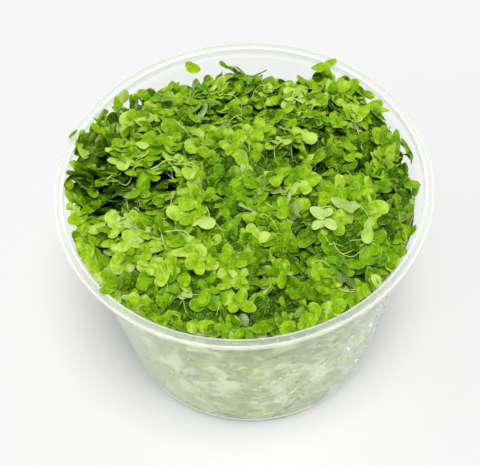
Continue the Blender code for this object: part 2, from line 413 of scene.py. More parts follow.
@dataclass(frozen=True)
class PackedFinish:
    """The plants deep in the cup: painted dark on top as the shade in the heap's gaps, and a pale wet film
    where they meet the wall, with greyish gaps painted as shade.

    A span is where a noise of 0 to 1 starts to take effect and where it is full.
    """

    name: str = "packed_inside"
    # The shadow and leaf colours paint the shade in the heap's gaps, near black with dark leaves; the
    # shoulder is a less dark green.
    shadow: Colour = (0.004, 0.014, 0.0005, 1.0)
    shaded_leaf: Colour = (0.025, 0.065, 0.002, 1.0)
    shoulder: Colour = (0.070, 0.170, 0.002, 1.0)
    film: Colour = (0.860, 0.980, 0.560, 1.0)
    # This greyish colour paints the shade in the gaps between the plants pressed to the wall.
    gap_shade_grey: Colour = (0.500, 0.520, 0.450, 1.0)
    green: Colour = (0.470, 0.700, 0.150, 1.0)
    cell_scale: float = 330.0
    cell_span: Pair = (0.75, 0.1)
    drift_scale: float = 230.0
    grey_span: Pair = (0.45, 0.35)
    green_span: Pair = (0.55, 0.62)
    streak_scale: float = 620.0
    streak_span: Pair = (0.47, 0.37)
    bead_scale: float = 1900.0
    bead_span: Pair = (0.48, 0.34)
    relief: float = 0.5 * MM

    def build(self) -> bpy.types.Material:
        """Makes the material: cells the size of fronds on top, painted as shade, and beads of water with
        greyish gaps on the side, the gaps painted as shade.

        The mesh carries packed_side, whose first number is 1 beside the wall and 0 on top, and whose second
        is 1 at the shoulder between them.

        Returns:
            The material.
        """
        board = Board(self.name)
        side, shoulder, _ = board.carried("packed_side")
        inputs = {"Vector": board.place(), "Scale": self.cell_scale, "Randomness": 1.0}
        cells = board.node("ShaderNodeTexVoronoi", {"feature": "F1"}, inputs)
        near = Value(board, cells.outputs["Distance"]).ramp(*self.cell_span)
        drift = board.noise(self.drift_scale, 4.0, 0.6, 2.2)
        streaks = board.noise(self.streak_scale, 3.0, 0.6, 3.0)
        beads = board.noise(self.bead_scale, 2.0, 0.6)
        # Greyish patches and the greyish gaps round the beads are painted shade between the plants at the
        # wall.
        film = board.mix(drift.ramp(*self.grey_span) * 0.55, self.film, self.gap_shade_grey)
        film = board.mix(drift.ramp(*self.green_span) * 0.45, film, self.green)
        film = board.mix(streaks.ramp(*self.streak_span) * 0.55, film, self.green)
        film = board.mix(beads.ramp(*self.bead_span) * 0.45, film, self.gap_shade_grey)
        # Painted shade on top: near black between cells the size of fronds, dark leaves within them.
        inside = board.mix(near, self.shadow, self.shaded_leaf)
        top = board.mix(shoulder * (0.5 + near * 0.5), inside, self.shoulder)
        shader = board.principled({
            "Base Color": board.mix(side.ramp(0.3, 0.7), top, film),
            "Roughness": 0.8 - near * 0.2,
            "Specular IOR Level": 0.1,
            "Normal": board.bump(near * 0.4 + beads * 0.6, self.relief, 0.6),
        })
        return board.done(shader)


@dataclass(frozen=True)
class CupFinish:
    """Thin moulded plastic: a milky wall, and a clear glossy rim and heel.

    A span here is the pair of radii, heights, depths or distances between which a zone fades in.
    """

    name: str = "clear_plastic"
    tint: Colour = (0.985, 0.990, 0.985, 1.0)
    # The haze is milky plastic whose green tint is painted light: it stands in for green light that the
    # fronds behind scatter into the wall.
    haze: Colour = (0.860, 0.970, 0.600, 1.0)
    rim_tint: Colour = (0.700, 0.780, 0.600, 1.0)
    # The line colour paints the bright moulded edges: partly their own haze, partly painted highlights.
    line: Colour = (0.970, 0.985, 0.950, 1.0)
    unbent: Colour = (0.990, 0.993, 0.990, 1.0)
    ior: float = 1.49
    cloud_scale: float = 150.0
    mist_scale: float = 1500.0
    stray: float = 0.07
    rim_start: float = 64.8 * MM
    rim_full: float = 65.6 * MM
    back_line: float = 57.0 * MM
    back_span: Pair = (-30.0 * MM, 15.0 * MM)
    left_light_span: Pair = (-12.0 * MM, -40.0 * MM)
    rim_span: Pair = (47.6 * MM, 48.2 * MM)
    lip_radius: float = 48.3 * MM
    lip_band: Pair = (0.55 * MM, 0.20 * MM)
    lip_span: Pair = (69.0 * MM, 69.6 * MM)
    bead_span: Pair = (49.7 * MM, 50.1 * MM)
    bead_share: float = 0.9
    heel_height: float = 4.4 * MM
    heel_fade: float = 0.5 * MM
    heel_band: Pair = (0.60 * MM, 0.25 * MM)
    heel_span: Pair = (38.0 * MM, 39.0 * MM)
    heel_share: float = 1.4
    milkiness: float = 0.035
    least_milk: float = 0.01
    clear_haze: float = 0.01
    rim_haze: float = 0.12
    left_painted_light: float = 0.11
    edge_highlight_haze: float = 0.40
    wall_straight: float = 0.0
    rim_straight: float = 0.94
    relief: float = 0.03 * MM

    def build(self) -> bpy.types.Material:
        """Makes the material.

        Milkiness is a share of haze over see-through plastic. It is full where the wet plants touch the wall,
        so up to the ledge in front and lower at the back, and almost nothing at the heel. More milk towards
        the left is painted light that brightens that side, and the haze's green tint is painted light from
        the fronds behind. The moulded edges, at the lip, the flange's bead and the heel, are hazier lines,
        partly their own haze and partly painted highlights. The clear zones let most light pass unbent, and
        what comes straight from a lamp passes everywhere.

        Returns:
            The material.
        """
        board = Board(self.name)
        across, depth, height = board.parts_of(board.place())
        radius = (across * across + depth * depth) ** 0.5
        cloud = board.noise(self.cloud_scale, 4.0, 0.6)
        mist = board.noise(self.mist_scale, 2.0)

        line = self.rim_full - depth.ramp(*self.back_span) * (self.rim_full - self.back_line)
        wall = (height - line).ramp(0.0, self.rim_start - self.rim_full)
        wall = wall * height.ramp(self.heel_height - self.heel_fade, self.heel_height)
        uneven = (cloud - 0.5) * self.stray + (mist - 0.5) * self.stray
        # Painted light: more milk towards the left brightens that side of the wall.
        spread = self.milkiness + uneven + across.ramp(*self.left_light_span) * self.left_painted_light
        milk = wall * spread.most(self.least_milk) + self.clear_haze

        # The lip, bead and heel lines are partly the moulded edges' own haze and partly painted highlights.
        lip = abs(radius - self.lip_radius).ramp(*self.lip_band) * height.ramp(*self.lip_span)
        bead = radius.ramp(*self.bead_span) * self.bead_share
        heel = abs(height - self.heel_height).ramp(*self.heel_band) * radius.ramp(*self.heel_span)
        edges = lip.most(bead).most(heel * self.heel_share)
        rim = radius.ramp(*self.rim_span)
        milk = milk.most(rim * self.rim_haze).most(edges * self.edge_highlight_haze)
        haze = board.mix(edges.least(1.0), board.mix(rim, self.haze, self.rim_tint), self.line)

        clear = board.principled({
            "Base Color": self.tint,
            "Roughness": 0.01 + mist * 0.02,
            "IOR": self.ior,
            "Specular IOR Level": 0.25,
            "Transmission Weight": 1.0,
        })
        hazy = board.principled({
            "Base Color": haze,
            "Roughness": 0.22 + mist * 0.1,
            "Normal": board.bump(mist * 0.7 + cloud * 0.3, self.relief, 0.5),
        })
        straight = self.rim_straight + wall * (self.wall_straight - self.rim_straight)
        glassy = board.blend(board.lamp_light().most(straight), clear, board.see_through(self.unbent))
        return board.done(board.blend(milk, glassy, hazy))


@dataclass(frozen=True)
class WaterFinish:
    """Water drop: clear and sharp, with a share of white, spread by noise, that is a painted highlight."""

    name: str = "water_drop"
    white: Colour = (0.95, 0.97, 0.93, 1.0)
    highlight_share: float = 0.5
    least_highlight: float = 0.15
    ripple_scale: float = 900.0
    ripple_span: Pair = (0.35, 0.6)
    ior: float = 1.33

    def build(self) -> bpy.types.Material:
        """Makes the material, which lets lamps shine through."""
        board = Board(self.name)
        ripple = board.noise(self.ripple_scale)
        water = board.principled({
            "Base Color": WHITE,
            "Roughness": 0.02 + ripple * 0.02,
            "IOR": self.ior,
            "Transmission Weight": 1.0,
        })
        # Painted highlight: a bright share mixed into the water by noise.
        bright = board.principled({"Base Color": self.white, "Roughness": 0.15})
        share = ripple.ramp(*self.ripple_span) * self.highlight_share + self.least_highlight
        beads = board.blend(share, water, bright)
        return board.done(board.blend(board.lamp_light(), beads, board.see_through(WHITE)))


@dataclass(frozen=True)
class FloorFinish:
    """Plain pale sweep under the cup."""

    name: str = "floor"
    colour: Colour = (0.62, 0.62, 0.62, 1.0)
    darker: Colour = (0.60, 0.60, 0.60, 1.0)
    drift_scale: float = 4.0

    def build(self) -> bpy.types.Material:
        """Makes the material, with a trace of unevenness."""
        board = Board(self.name)
        shader = board.principled({
            "Base Color": board.mix(board.noise(self.drift_scale) * 0.04, self.colour, self.darker),
            "Roughness": 0.9,
            "Specular IOR Level": 0.0,
        })
        return board.done(shader)


@dataclass
class Shells:
    """Many closed shells of the same make: rings from a top pole to a bottom pole.

    rings is (shells, rings, points around, 3), and tops and bottoms are (shells, 3). carried holds, by name,
    one vector for each vertex in the order rings, tops, bottoms, shaped as those are.
    """

    rings: Array
    tops: Array
    bottoms: Array
    carried: dict[str, tuple[Array, Array, Array]] = field(default_factory=dict)
    sharp: ClassVar[float] = math.radians(50)

    def vertices(self) -> Array:
        """All vertices as rows: every ring point, then every top pole, then every bottom pole."""
        return np.concatenate([self.rings.reshape(-1, 3), self.tops, self.bottoms])

    def faces(self) -> tuple[Array, Array]:
        """Quads between neighbouring rings and fans at the poles, as arrays of vertex numbers."""
        count, rows, around = self.rings.shape[:3]
        number = np.arange(count * rows * around).reshape(count, rows, around)
        after = np.roll(number, -1, axis=2)
        quads = np.stack([number[:, :-1], number[:, 1:], after[:, 1:], after[:, :-1]], axis=-1)
        top = (number.size + np.arange(count))[:, None]
        bottom = top + count
        full = np.ones((1, around), int)
        upper = np.stack([top * full, number[:, 0], after[:, 0]], axis=-1)
        lower = np.stack([bottom * full, after[:, -1], number[:, -1]], axis=-1)
        return quads.reshape(-1, 4), np.concatenate([upper.reshape(-1, 3), lower.reshape(-1, 3)])

    def chosen(self, pick: Array) -> Shells:
        """The shells that a mask or a list of numbers picks."""
        parts = {key: tuple(part[pick] for part in three) for key, three in self.carried.items()}
        return Shells(self.rings[pick], self.tops[pick], self.bottoms[pick], parts)

    def move(self, shift: Array) -> None:
        """Moves each shell by its row of shift, or all by its only row."""
        self.rings += shift[:, None, None]
        self.tops += shift
        self.bottoms += shift

    def build(self, name: str, material: bpy.types.Material) -> bpy.types.Object:
        """Puts the arrays into one mesh object.

        Args:
            name: the object's name.
            material: its finish.

        Returns:
            The object, at the origin, shaded smooth.
        """
        points = self.vertices()
        quads, fans = self.faces()
        mesh = bpy.data.meshes.new(name)
        mesh.vertices.add(len(points))
        mesh.vertices.foreach_set("co", points.astype(np.float32).ravel())
        corners = np.concatenate([quads.ravel(), fans.ravel()]).astype(np.int32)
        mesh.loops.add(len(corners))
        mesh.loops.foreach_set("vertex_index", corners)
        sizes = np.concatenate([np.full(len(quads), 4), np.full(len(fans), 3)])
        starts = np.concatenate([[0], np.cumsum(sizes)[:-1]]).astype(np.int32)
        mesh.polygons.add(len(sizes))
        mesh.polygons.foreach_set("loop_start", starts)
        mesh.polygons.foreach_set("use_smooth", np.ones(len(sizes), bool))
        for key, three in self.carried.items():
            values = np.concatenate([part.reshape(-1, 3) for part in three])
            layer = mesh.attributes.new(key, "FLOAT_VECTOR", "POINT")
            layer.data.foreach_set("vector", values.astype(np.float32).ravel())
        mesh.update(calc_edges=True)
        mesh.set_sharp_from_angle(angle=self.sharp)
        mesh.materials.append(material)
        made = bpy.data.objects.new(name, mesh)
        bpy.context.scene.collection.objects.link(made)
        return made


def dress(made: bpy.types.Object, node: str | None) -> None:
    """Says what a piece rides on and which node it stands for, if any, and reports it."""
    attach(made, BODY)
    if node:
        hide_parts(node)
    LOG.info("%s: %d faces", made.name, len(made.data.polygons))


def dress_packed(made: bpy.types.Object) -> None:
    """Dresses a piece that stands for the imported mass."""
    dress(made, "duckweed_mass")


def gathered(parts: list[Shells]) -> Shells:
    """Several sets of like shells as one."""
    carried = {
        key: tuple(np.concatenate([part.carried[key][k] for part in parts]) for k in range(3))
        for key in parts[0].carried
    }
    rings = np.concatenate([part.rings for part in parts])
    tops = np.concatenate([part.tops for part in parts])
    bottoms = np.concatenate([part.bottoms for part in parts])
    return Shells(rings, tops, bottoms, carried)


def bell(far: Array) -> Array:
    """A bell curve, 1 at the middle: the exponential of minus half the square of the distance."""
    return np.exp(-far * far / 2)


def round_places(radius: Array, azimuth: Array, height: Array) -> Array:
    """Places about the cup's axis: radius times cosine and sine of the azimuth, and the height."""
    return np.column_stack([radius * np.cos(azimuth), radius * np.sin(azimuth), height])


def arc(centre: Pair, radius: float, start: float, end: float, steps: int) -> list[Pair]:
    """Points of an arc in the plane of radius and height: centre plus radius times cosine and sine."""
    angles = np.linspace(start, end, steps + 1)
    return [(centre[0] + radius * math.cos(a), centre[1] + radius * math.sin(a)) for a in angles]


@dataclass
class Cup:
    """The moulded cup: foot, heel, tapered wall, ledge, lip and beaded flange."""

    height: float = 70.0 * MM
    rim_radius: float = 50.5 * MM
    lip_radius: float = 48.0 * MM
    lip_depth: float = 2.3 * MM
    wall_top_radius: float = 46.5 * MM
    wall: float = 0.55 * MM
    flange: float = 0.6 * MM
    draft: float = math.radians(5.8)
    heel_radius: float = 3.0 * MM
    bead_radius: float = 0.5 * MM
    bead_drop: float = 1.1 * MM
    rim_round: float = 0.4 * MM
    lip_round: float = 0.3 * MM
    panel_rise: float = 1.0 * MM
    panel_radius: float = 33.4 * MM
    foot_slope: float = 0.6 * MM
    straight_span: Pair = (10.0 * MM, 60.0 * MM)
    straight_steps: int = 6
    floor_shares: tuple[float, float, float] = (0.25, 0.5, 0.75)
    wide_steps: int = 8
    small_steps: int = 3
    turns: int = 240

    @property
    def ledge(self) -> float:
        """Height of the ledge inside the rim."""
        return self.height - self.lip_depth

    @property
    def floor(self) -> float:
        """Height of the floor inside."""
        return self.panel_rise + self.wall

    @property
    def heel(self) -> tuple[float, float]:
        """Radius and height of the heel arc's centre, from which the wall leaves at the draft angle."""
        leave = self.heel_radius * (1 - math.sin(self.draft))
        run = (self.ledge - self.wall - leave) * math.tan(self.draft)
        return self.wall_top_radius - run - self.heel_radius * math.cos(self.draft), self.heel_radius

    def inner_radius(self, height: Array) -> Array:
        """Radius of the inner surface: a straight taper, and the heel's arc below it.

        Args:
            height: heights above the underside.

        Returns:
            The radius at each height: top radius minus the drop times the draft's tangent, or in the heel the
            arc's centre plus the root of its squared radius minus the squared depth below the centre.
        """
        inner_top = self.wall_top_radius - self.wall / math.cos(self.draft)
        taper = inner_top - (self.ledge - self.wall - height) * math.tan(self.draft)
        centre, level = self.heel
        hollow = self.heel_radius - self.wall
        depth = np.clip(level - height, 0.0, hollow)
        return np.where(height < level, np.minimum(taper, centre + np.sqrt(hollow ** 2 - depth ** 2)), taper)

    def profile(self) -> list[Pair]:
        """The section as radius and height: up the inside, over the rim and down the outside."""
        centre, ledge, top = self.heel, self.ledge, self.height
        under = ledge - self.wall
        skirt = self.lip_radius + self.wall
        flange_under = top - self.flange
        bead = (self.rim_radius - self.bead_radius, top - self.bead_drop)
        shelf = ledge - self.lip_round
        inner = float(self.inner_radius(np.array(shelf)))
        small, quarter = self.lip_round, math.pi / 2
        steps, wide = self.small_steps, self.wide_steps
        levels = np.linspace(*self.straight_span, self.straight_steps)
        line = [(self.panel_radius * share, self.floor) for share in self.floor_shares]
        line += [(self.panel_radius + self.wall, self.floor)]
        line += [(self.panel_radius + self.foot_slope + self.wall, self.wall)]
        line += arc(centre, self.heel_radius - self.wall, -quarter, -self.draft, wide)
        line += [(float(self.inner_radius(np.array(z))), z) for z in levels]
        line += arc((inner + small, shelf), small, math.pi, quarter, steps)
        line += arc((self.lip_radius - small, ledge + small), small, -quarter, 0.0, steps)
        line += arc((self.lip_radius + small, top - small), small, math.pi, quarter, steps)
        rim = (self.rim_radius - self.rim_round, top - self.rim_round)
        line += arc(rim, self.rim_round, quarter, 0.0, steps + 1)
        line += arc(bead, self.bead_radius, 0.0, -math.pi, wide)
        line += [(bead[0] - self.bead_radius, flange_under), (skirt, flange_under)]
        line += arc((skirt - small, under + small), small, 0.0, -quarter, steps)
        line += [(self.wall_top_radius, under)]
        line += [(self.outer_radius(z), z) for z in levels[::-1]]
        line += arc(centre, self.heel_radius, -self.draft, -quarter, wide)
        line += [(self.panel_radius + self.foot_slope, 0.0), (self.panel_radius, self.panel_rise)]
        return line + [(self.panel_radius * share, self.panel_rise) for share in self.floor_shares[::-1]]

    def outer_radius(self, height: float | Array) -> float | Array:
        """Radius of the outer wall: the top radius minus the drop times the draft's tangent."""
        return self.wall_top_radius - (self.ledge - self.wall - height) * math.tan(self.draft)

    def facing_out(self, azimuth: Array) -> Array:
        """Rotations that take +Z out of the wall, square to it, at each azimuth."""
        return turn_about(2, azimuth) @ turn_about(1, np.full(len(azimuth), math.pi / 2 + self.draft))

    def build(self, material: bpy.types.Material) -> bpy.types.Object:
        """Turns the section once round the axis: radius times cosine and sine of the turn, and the height."""
        radius, height = np.array(self.profile()).T
        turn = np.linspace(0, 2 * math.pi, self.turns, endpoint=False)
        rings = np.stack([
            radius[:, None] * np.cos(turn),
            radius[:, None] * np.sin(turn),
            np.broadcast_to(height[:, None], (len(height), self.turns)),
        ], axis=-1)
        shell = Shells(rings[None], np.array([[0, 0, self.floor]]), np.array([[0, 0, self.panel_rise]]))
        made = shell.build("cup_shell", material)
        dress(made, "cup")
        return made


@dataclass
class Heap:
    """The shape of the heaped duckweed: a dome on an uneven edge, with knolls and hollows.

    An edge swell is its azimuth in degrees, rise in millimetres and spread in degrees. A knoll is its x, y,
    rise and spread in millimetres.
    """

    cup: Cup
    gap: float = 0.34 * MM
    edge_drop: float = 1.0 * MM
    mound: float = 6.2 * MM
    mound_shape: float = 0.8
    edge_swells: tuple[tuple[float, float, float], ...] = (
        (98, -6.2, 26),
        (70, -5.0, 9),
        (162, 4.4, 14),
        (192, -2.5, 7),
        (40, 1.0, 8),
        (21, -4.0, 7),
        (2, -2.5, 8),
        (268, -2.0, 12),
        (320, 1.8, 10),
    )
    knolls: tuple[tuple[float, float, float, float], ...] = (
        (-1, 5, 2.0, 9),
        (-24, 8, 0.8, 7),
        (-35, -2, -2.4, 4.5),
        (13, -28, -2.0, 3.2),
        (-22, -22, 1.2, 8),
        (25, -21, 1.2, 8),
        (31, 3, -1.4, 4),
        (20, 24, 1.0, 9),
        (-8, 21, -1.2, 4),
        (-15, -37, -1.2, 3.5),
    )

    @property
    def radius(self) -> float:
        """Radius of the heap at the ledge."""
        return float(self.cup.inner_radius(np.array(self.cup.ledge - self.cup.lip_round))) - self.gap

    def edge(self, azimuth: Array) -> Array:
        """Height at which the heap meets the wall: an even height plus a bell curve for each swell."""
        height = np.full(np.shape(azimuth), self.cup.height - self.edge_drop)
        for middle, rise, spread in self.edge_swells:
            off = (np.degrees(azimuth) - middle + 180) % 360 - 180
            height = height + rise * MM * bell(off / spread)
        return height

    def surface(self, x: Array, y: Array) -> Array:
        """Height of the heap.

        Args:
            x: places across.
            y: places towards the back.

        Returns:
            The edge height blended to its mean at the middle, plus the mound times one minus the squared
            radius share to a power, plus a bell curve for each knoll that fades at the wall.
        """
        share = np.minimum(1.0, np.hypot(x, y) / self.radius)
        middle = self.cup.height - self.edge_drop
        height = self.edge(np.arctan2(y, x)) * share + middle * (1 - share)
        height = height + self.mound * (1 - share * share) ** self.mound_shape
        for knoll_x, knoll_y, swell, spread in self.knolls:
            far = np.hypot(x - knoll_x * MM, y - knoll_y * MM) / (spread * MM)
            height = height + swell * MM * bell(far) * (1 - share ** 4)
        return height

    def normal(self, x: float, y: float) -> Array:
        """Unit normal of the heap, from differences over 2 mm each way."""
        step = 2 * MM
        slope_x = (self.surface(x + step, y) - self.surface(x - step, y)) / (2 * step)
        slope_y = (self.surface(x, y + step) - self.surface(x, y - step)) / (2 * step)
        normal = np.array([-float(slope_x), -float(slope_y), 1.0])
        return normal / np.linalg.norm(normal)


class Habit(Enum):
    """The fronds of a plant, each as its bearing in degrees and its length and width in millimetres."""

    SINGLE = ((0, 4.4, 3.1),)
    PAIR = ((0, 5.4, 4.1), (165, 4.6, 3.5))
    TRIO = ((0, 5.2, 3.9), (118, 4.6, 3.5), (235, 3.6, 2.9))
    FOUR = ((20, 4.8, 3.9), (110, 4.2, 3.5), (200, 4.6, 3.8), (295, 3.2, 2.6))
    SMALL = ((0, 3.7, 2.5),)
    SLIM = ((270, 3.9, 2.5),)
    BROAD = ((0, 5.4, 4.1),)
    STANDING = ((90, 5.6, 3.6), (255, 4.6, 3.2))
    SPREAD = ((0, 4.8, 3.7), (215, 4.2, 3.3), (95, 2.4, 2.0))
    FAN = ((0, 4.4, 3.1), (285, 5.0, 2.8), (318, 4.4, 2.6))


CROWD_HABITS = (Habit.BROAD, Habit.PAIR, Habit.TRIO, Habit.FOUR)
EDGE_HABITS = (Habit.SMALL, Habit.SINGLE, Habit.BROAD, Habit.PAIR)


def turn_about(axis: int, angle: Array) -> Array:
    """Rotation matrices about one axis, 0 for x, 1 for y and 2 for z, one for each angle in radians."""
    angle = np.asarray(angle, float)
    first, second = (axis + 1) % 3, (axis + 2) % 3
    made = np.zeros(angle.shape + (3, 3))
    made[..., axis, axis] = 1.0
    made[..., first, first] = made[..., second, second] = np.cos(angle)
    made[..., first, second] = -np.sin(angle)
    made[..., second, first] = np.sin(angle)
    return made


def turn_up_to(normals: Array) -> Array:
    """The shortest rotation that takes +Z to each unit normal.

    Args:
        normals: unit vectors, (n, 3).

    Returns:
        Matrices, (n, 3, 3): the identity plus the skew matrix of the cross product, plus its square over one
        plus the cosine.
    """
    x, y, z = normals[..., 0], normals[..., 1], normals[..., 2]
    zero = np.zeros_like(x)
    skew = np.stack([zero, zero, x, zero, zero, y, -x, -y, zero], axis=-1)
    skew = skew.reshape(normals.shape[:-1] + (3, 3))
    share = 1.0 / np.maximum(1.0 + z, 1e-6)
    return np.eye(3) + skew + skew @ skew * share[..., None, None]


def drawn_waves(count: int, rng: np.random.Generator) -> Array:
    """The three phases of each frond's margin, and how deep its waves are from 0 to 1, as rows."""
    return np.concatenate([rng.uniform(0, 2 * math.pi, (3, count)), rng.uniform(0, 1, (1, count))])


@dataclass(frozen=True)
class Stray:
    """How far fronds stray from their habit, as shares of a size, degrees or millimetres.

    The dish bend is its mean and its stray.
    """

    plant_size: float = 0.11
    plant_smaller: float = 0.05
    frond_size: float = 0.09
    narrower: float = 0.14
    width: float = 0.10
    bearing: float = 14
    raised: float = 3
    lift: float = 15
    roll: float = 17
    dish: tuple[float, float] = (0.22, 0.42)
    arch: float = 0.22
    twist: float = 0.22


STRAY = Stray()


@dataclass
class Fronds:
    """Fronds as arrays: the plant each belongs to, and its place, sizes and bends about the plant's joint."""

    owner: Array
    bearing: Array
    length: Array
    width: Array
    lift: Array
    roll: Array
    bends: Array
    waves: Array
    thickness: Array
    joint_reach: float = 0.84
    oval_wave: ClassVar[float] = 0.07
    egg_wave: ClassVar[float] = 0.06
    egg_share: ClassVar[float] = 0.10
    margin_wave: ClassVar[float] = 0.22 * MM
    thin_to_thick: ClassVar[Pair] = (0.28, 0.50)

    @classmethod
    def of_plants(cls, habits: list[Habit], rng: np.random.Generator, loose: float = 1.0) -> Fronds:
        """Draws the fronds of each plant.

        Args:
            habits: each plant's habit.
            rng: the source of chance.
            loose: how far sizes and angles stray from the habit's own, 1 for the crowd of plants.

        Returns:
            The fronds, in the plants' order.
        """
        owner = np.concatenate([np.full(len(habit.value), k) for k, habit in enumerate(habits)])
        table = np.concatenate([np.array(habit.value, float) for habit in habits])
        count = len(owner)
        mean = 1.0 - STRAY.plant_smaller * loose
        plant_scale = rng.normal(mean, STRAY.plant_size * loose, len(habits))[owner]
        scale = plant_scale * rng.normal(1.0, STRAY.frond_size * loose, count)
        stray = rng.normal(0.0, 1.0, (7, count))
        slim = 1 - STRAY.narrower * loose + STRAY.width * loose * stray[1]
        dish = STRAY.dish[0] + STRAY.dish[1] * stray[4]
        return cls(
            owner=owner,
            bearing=np.radians(table[:, 0] + STRAY.bearing * loose * stray[0]),
            length=table[:, 1] * MM * scale,
            width=table[:, 2] * MM * scale * slim,
            lift=np.radians(STRAY.raised + STRAY.lift * loose * stray[2]),
            roll=np.radians(STRAY.roll * loose * stray[3]),
            bends=np.stack([dish, STRAY.arch * stray[5], STRAY.twist * stray[6]], axis=-1) * MM,
            waves=drawn_waves(count, rng),
            thickness=rng.uniform(*cls.thin_to_thick, count) * MM,
        )

    def local(self, around: int, shares: tuple[float, ...]) -> tuple[Array, Array, Array, Array]:
        """Points of every frond in its own frame, with the joint at the origin and the length along +X.

        Each frond is an egg-shaped lens: x is the centre plus half the length times share times cosine, y is
        half the width times share times sine, and both swell and shrink by waves of two and three turns. z is
        half the thickness times one minus the squared share, upwards on top and downwards below. The dish
        bend takes from z with the squared share, the arch adds with the squared place along, the twist with
        the product of the two places, and the margin waves with three turns.

        Args:
            around: points round each ring.
            shares: ring sizes between the middle and the margin, as shares of the outline.

        Returns:
            Ring points (n, rings, around, 3), top poles, bottom poles, and the oval places of the rings.
        """
        angle = np.linspace(0, 2 * math.pi, around, endpoint=False)
        share = np.array(list(shares) + [1.0] + list(shares)[::-1])
        side = np.array([1.0] * len(shares) + [0.0] + [-1.0] * len(shares))
        oval_x = share[:, None] * np.cos(angle)
        oval_y = share[:, None] * np.sin(angle)
        half = (self.length / 2)[:, None, None]
        first, second, third, depth = (wave[:, None, None] for wave in self.waves)
        outline = 1 + self.oval_wave * depth * np.cos(2 * angle + first)
        outline = outline + self.egg_wave * depth * np.cos(3 * angle + second)
        centre = self.joint_reach * half
        x = centre + half * oval_x * outline
        y = (self.width / 2)[:, None, None] * oval_y * outline * (1 + self.egg_share * oval_x)
        dish, arch, twist = (self.bends[:, k][:, None, None] for k in range(3))
        body = (self.thickness / 2)[:, None, None] * (1 - share ** 2)[:, None] * side[:, None]
        z = body - dish * (oval_x ** 2 + oval_y ** 2) + arch * oval_x ** 2 * 2 + twist * oval_x * oval_y * 2
        z = z + self.margin_wave * depth * (share ** 2)[:, None] * np.sin(3 * angle + third)
        rings = np.stack(np.broadcast_arrays(x, y, z), axis=-1)
        middle = np.zeros((len(self.length), 3))
        middle[:, 0] = centre[:, 0, 0]
        lift = np.zeros_like(middle)
        lift[:, 2] = self.thickness / 2
        upper = np.broadcast_to((side[:, None] > -0.5) * 1.0, oval_x.shape)
        spot = np.stack([oval_x, oval_y, upper], axis=-1)
        return rings, middle + lift, middle - lift, spot

    def turns(self) -> Array:
        """Rotation of each frond in its plant: rolled, its tip lifted, then swung to its bearing."""
        return turn_about(2, self.bearing) @ turn_about(1, -self.lift) @ turn_about(0, self.roll)

    def shells(self, places: Array, poses: Array, tones: Array, around: int = 12,
               shares: tuple[float, ...] = (0.62,)) -> Shells:
        """The fronds' surfaces in the cup's frame.

        Args:
            places: each plant's joint, (plants, 3).
            poses: each plant's rotation, (plants, 3, 3).
            tones: lightness, paleness and brownness of each frond, (fronds, 3).
            around: points round each ring.
            shares: ring sizes between the middle and the margin.

        Returns:
            One closed shell for each frond.
        """
        rings, tops, bottoms, spot = self.local(around, shares)
        pose = poses[self.owner] @ self.turns()
        place = places[self.owner]
        rings = np.einsum("nij,nrcj->nrci", pose, rings) + place[:, None, None, :]
        tops = np.einsum("nij,nj->ni", pose, tops) + place
        bottoms = np.einsum("nij,nj->ni", pose, bottoms) + place
        count = len(tones)
        spots = (
            np.broadcast_to(spot, (count,) + spot.shape).copy(),
            np.tile([0.0, 0.0, 1.0], (count, 1)),
            np.zeros((count, 3)),
        )
        spread = np.broadcast_to(tones[:, None, None, :], (count,) + spot.shape).copy()
        return Shells(rings, tops, bottoms, {"frond_spot": spots, "frond_tone": (spread, tones, tones)})


def hex_places(radius: float, spacing: float, rng: np.random.Generator, jitter: float) -> Array:
    """Places on a shaken triangular grid within a circle.

    Args:
        radius: the circle's radius.
        spacing: distance between neighbours.
        rng: the source of chance, for the grid's turn and shift and for the shaking.
        jitter: how far a place strays, as a share of the spacing.

    Returns:
        Places, (n, 2), in random order.
    """
    reach = int(radius / spacing) + 3
    column, row = np.meshgrid(np.arange(-reach, reach + 1), np.arange(-reach, reach + 1))
    grid = np.stack([column + 0.5 * (row % 2), row * math.sqrt(3) / 2], axis=-1).reshape(-1, 2) * spacing
    turn = rng.uniform(0, math.pi / 3)
    spin = np.array([[math.cos(turn), -math.sin(turn)], [math.sin(turn), math.cos(turn)]])
    grid = grid @ spin.T + rng.uniform(-0.5, 0.5, 2) * spacing
    grid = grid + rng.normal(0, jitter * spacing, grid.shape)
    grid = grid[np.hypot(grid[:, 0], grid[:, 1]) < radius]
    return grid[rng.permutation(len(grid))]


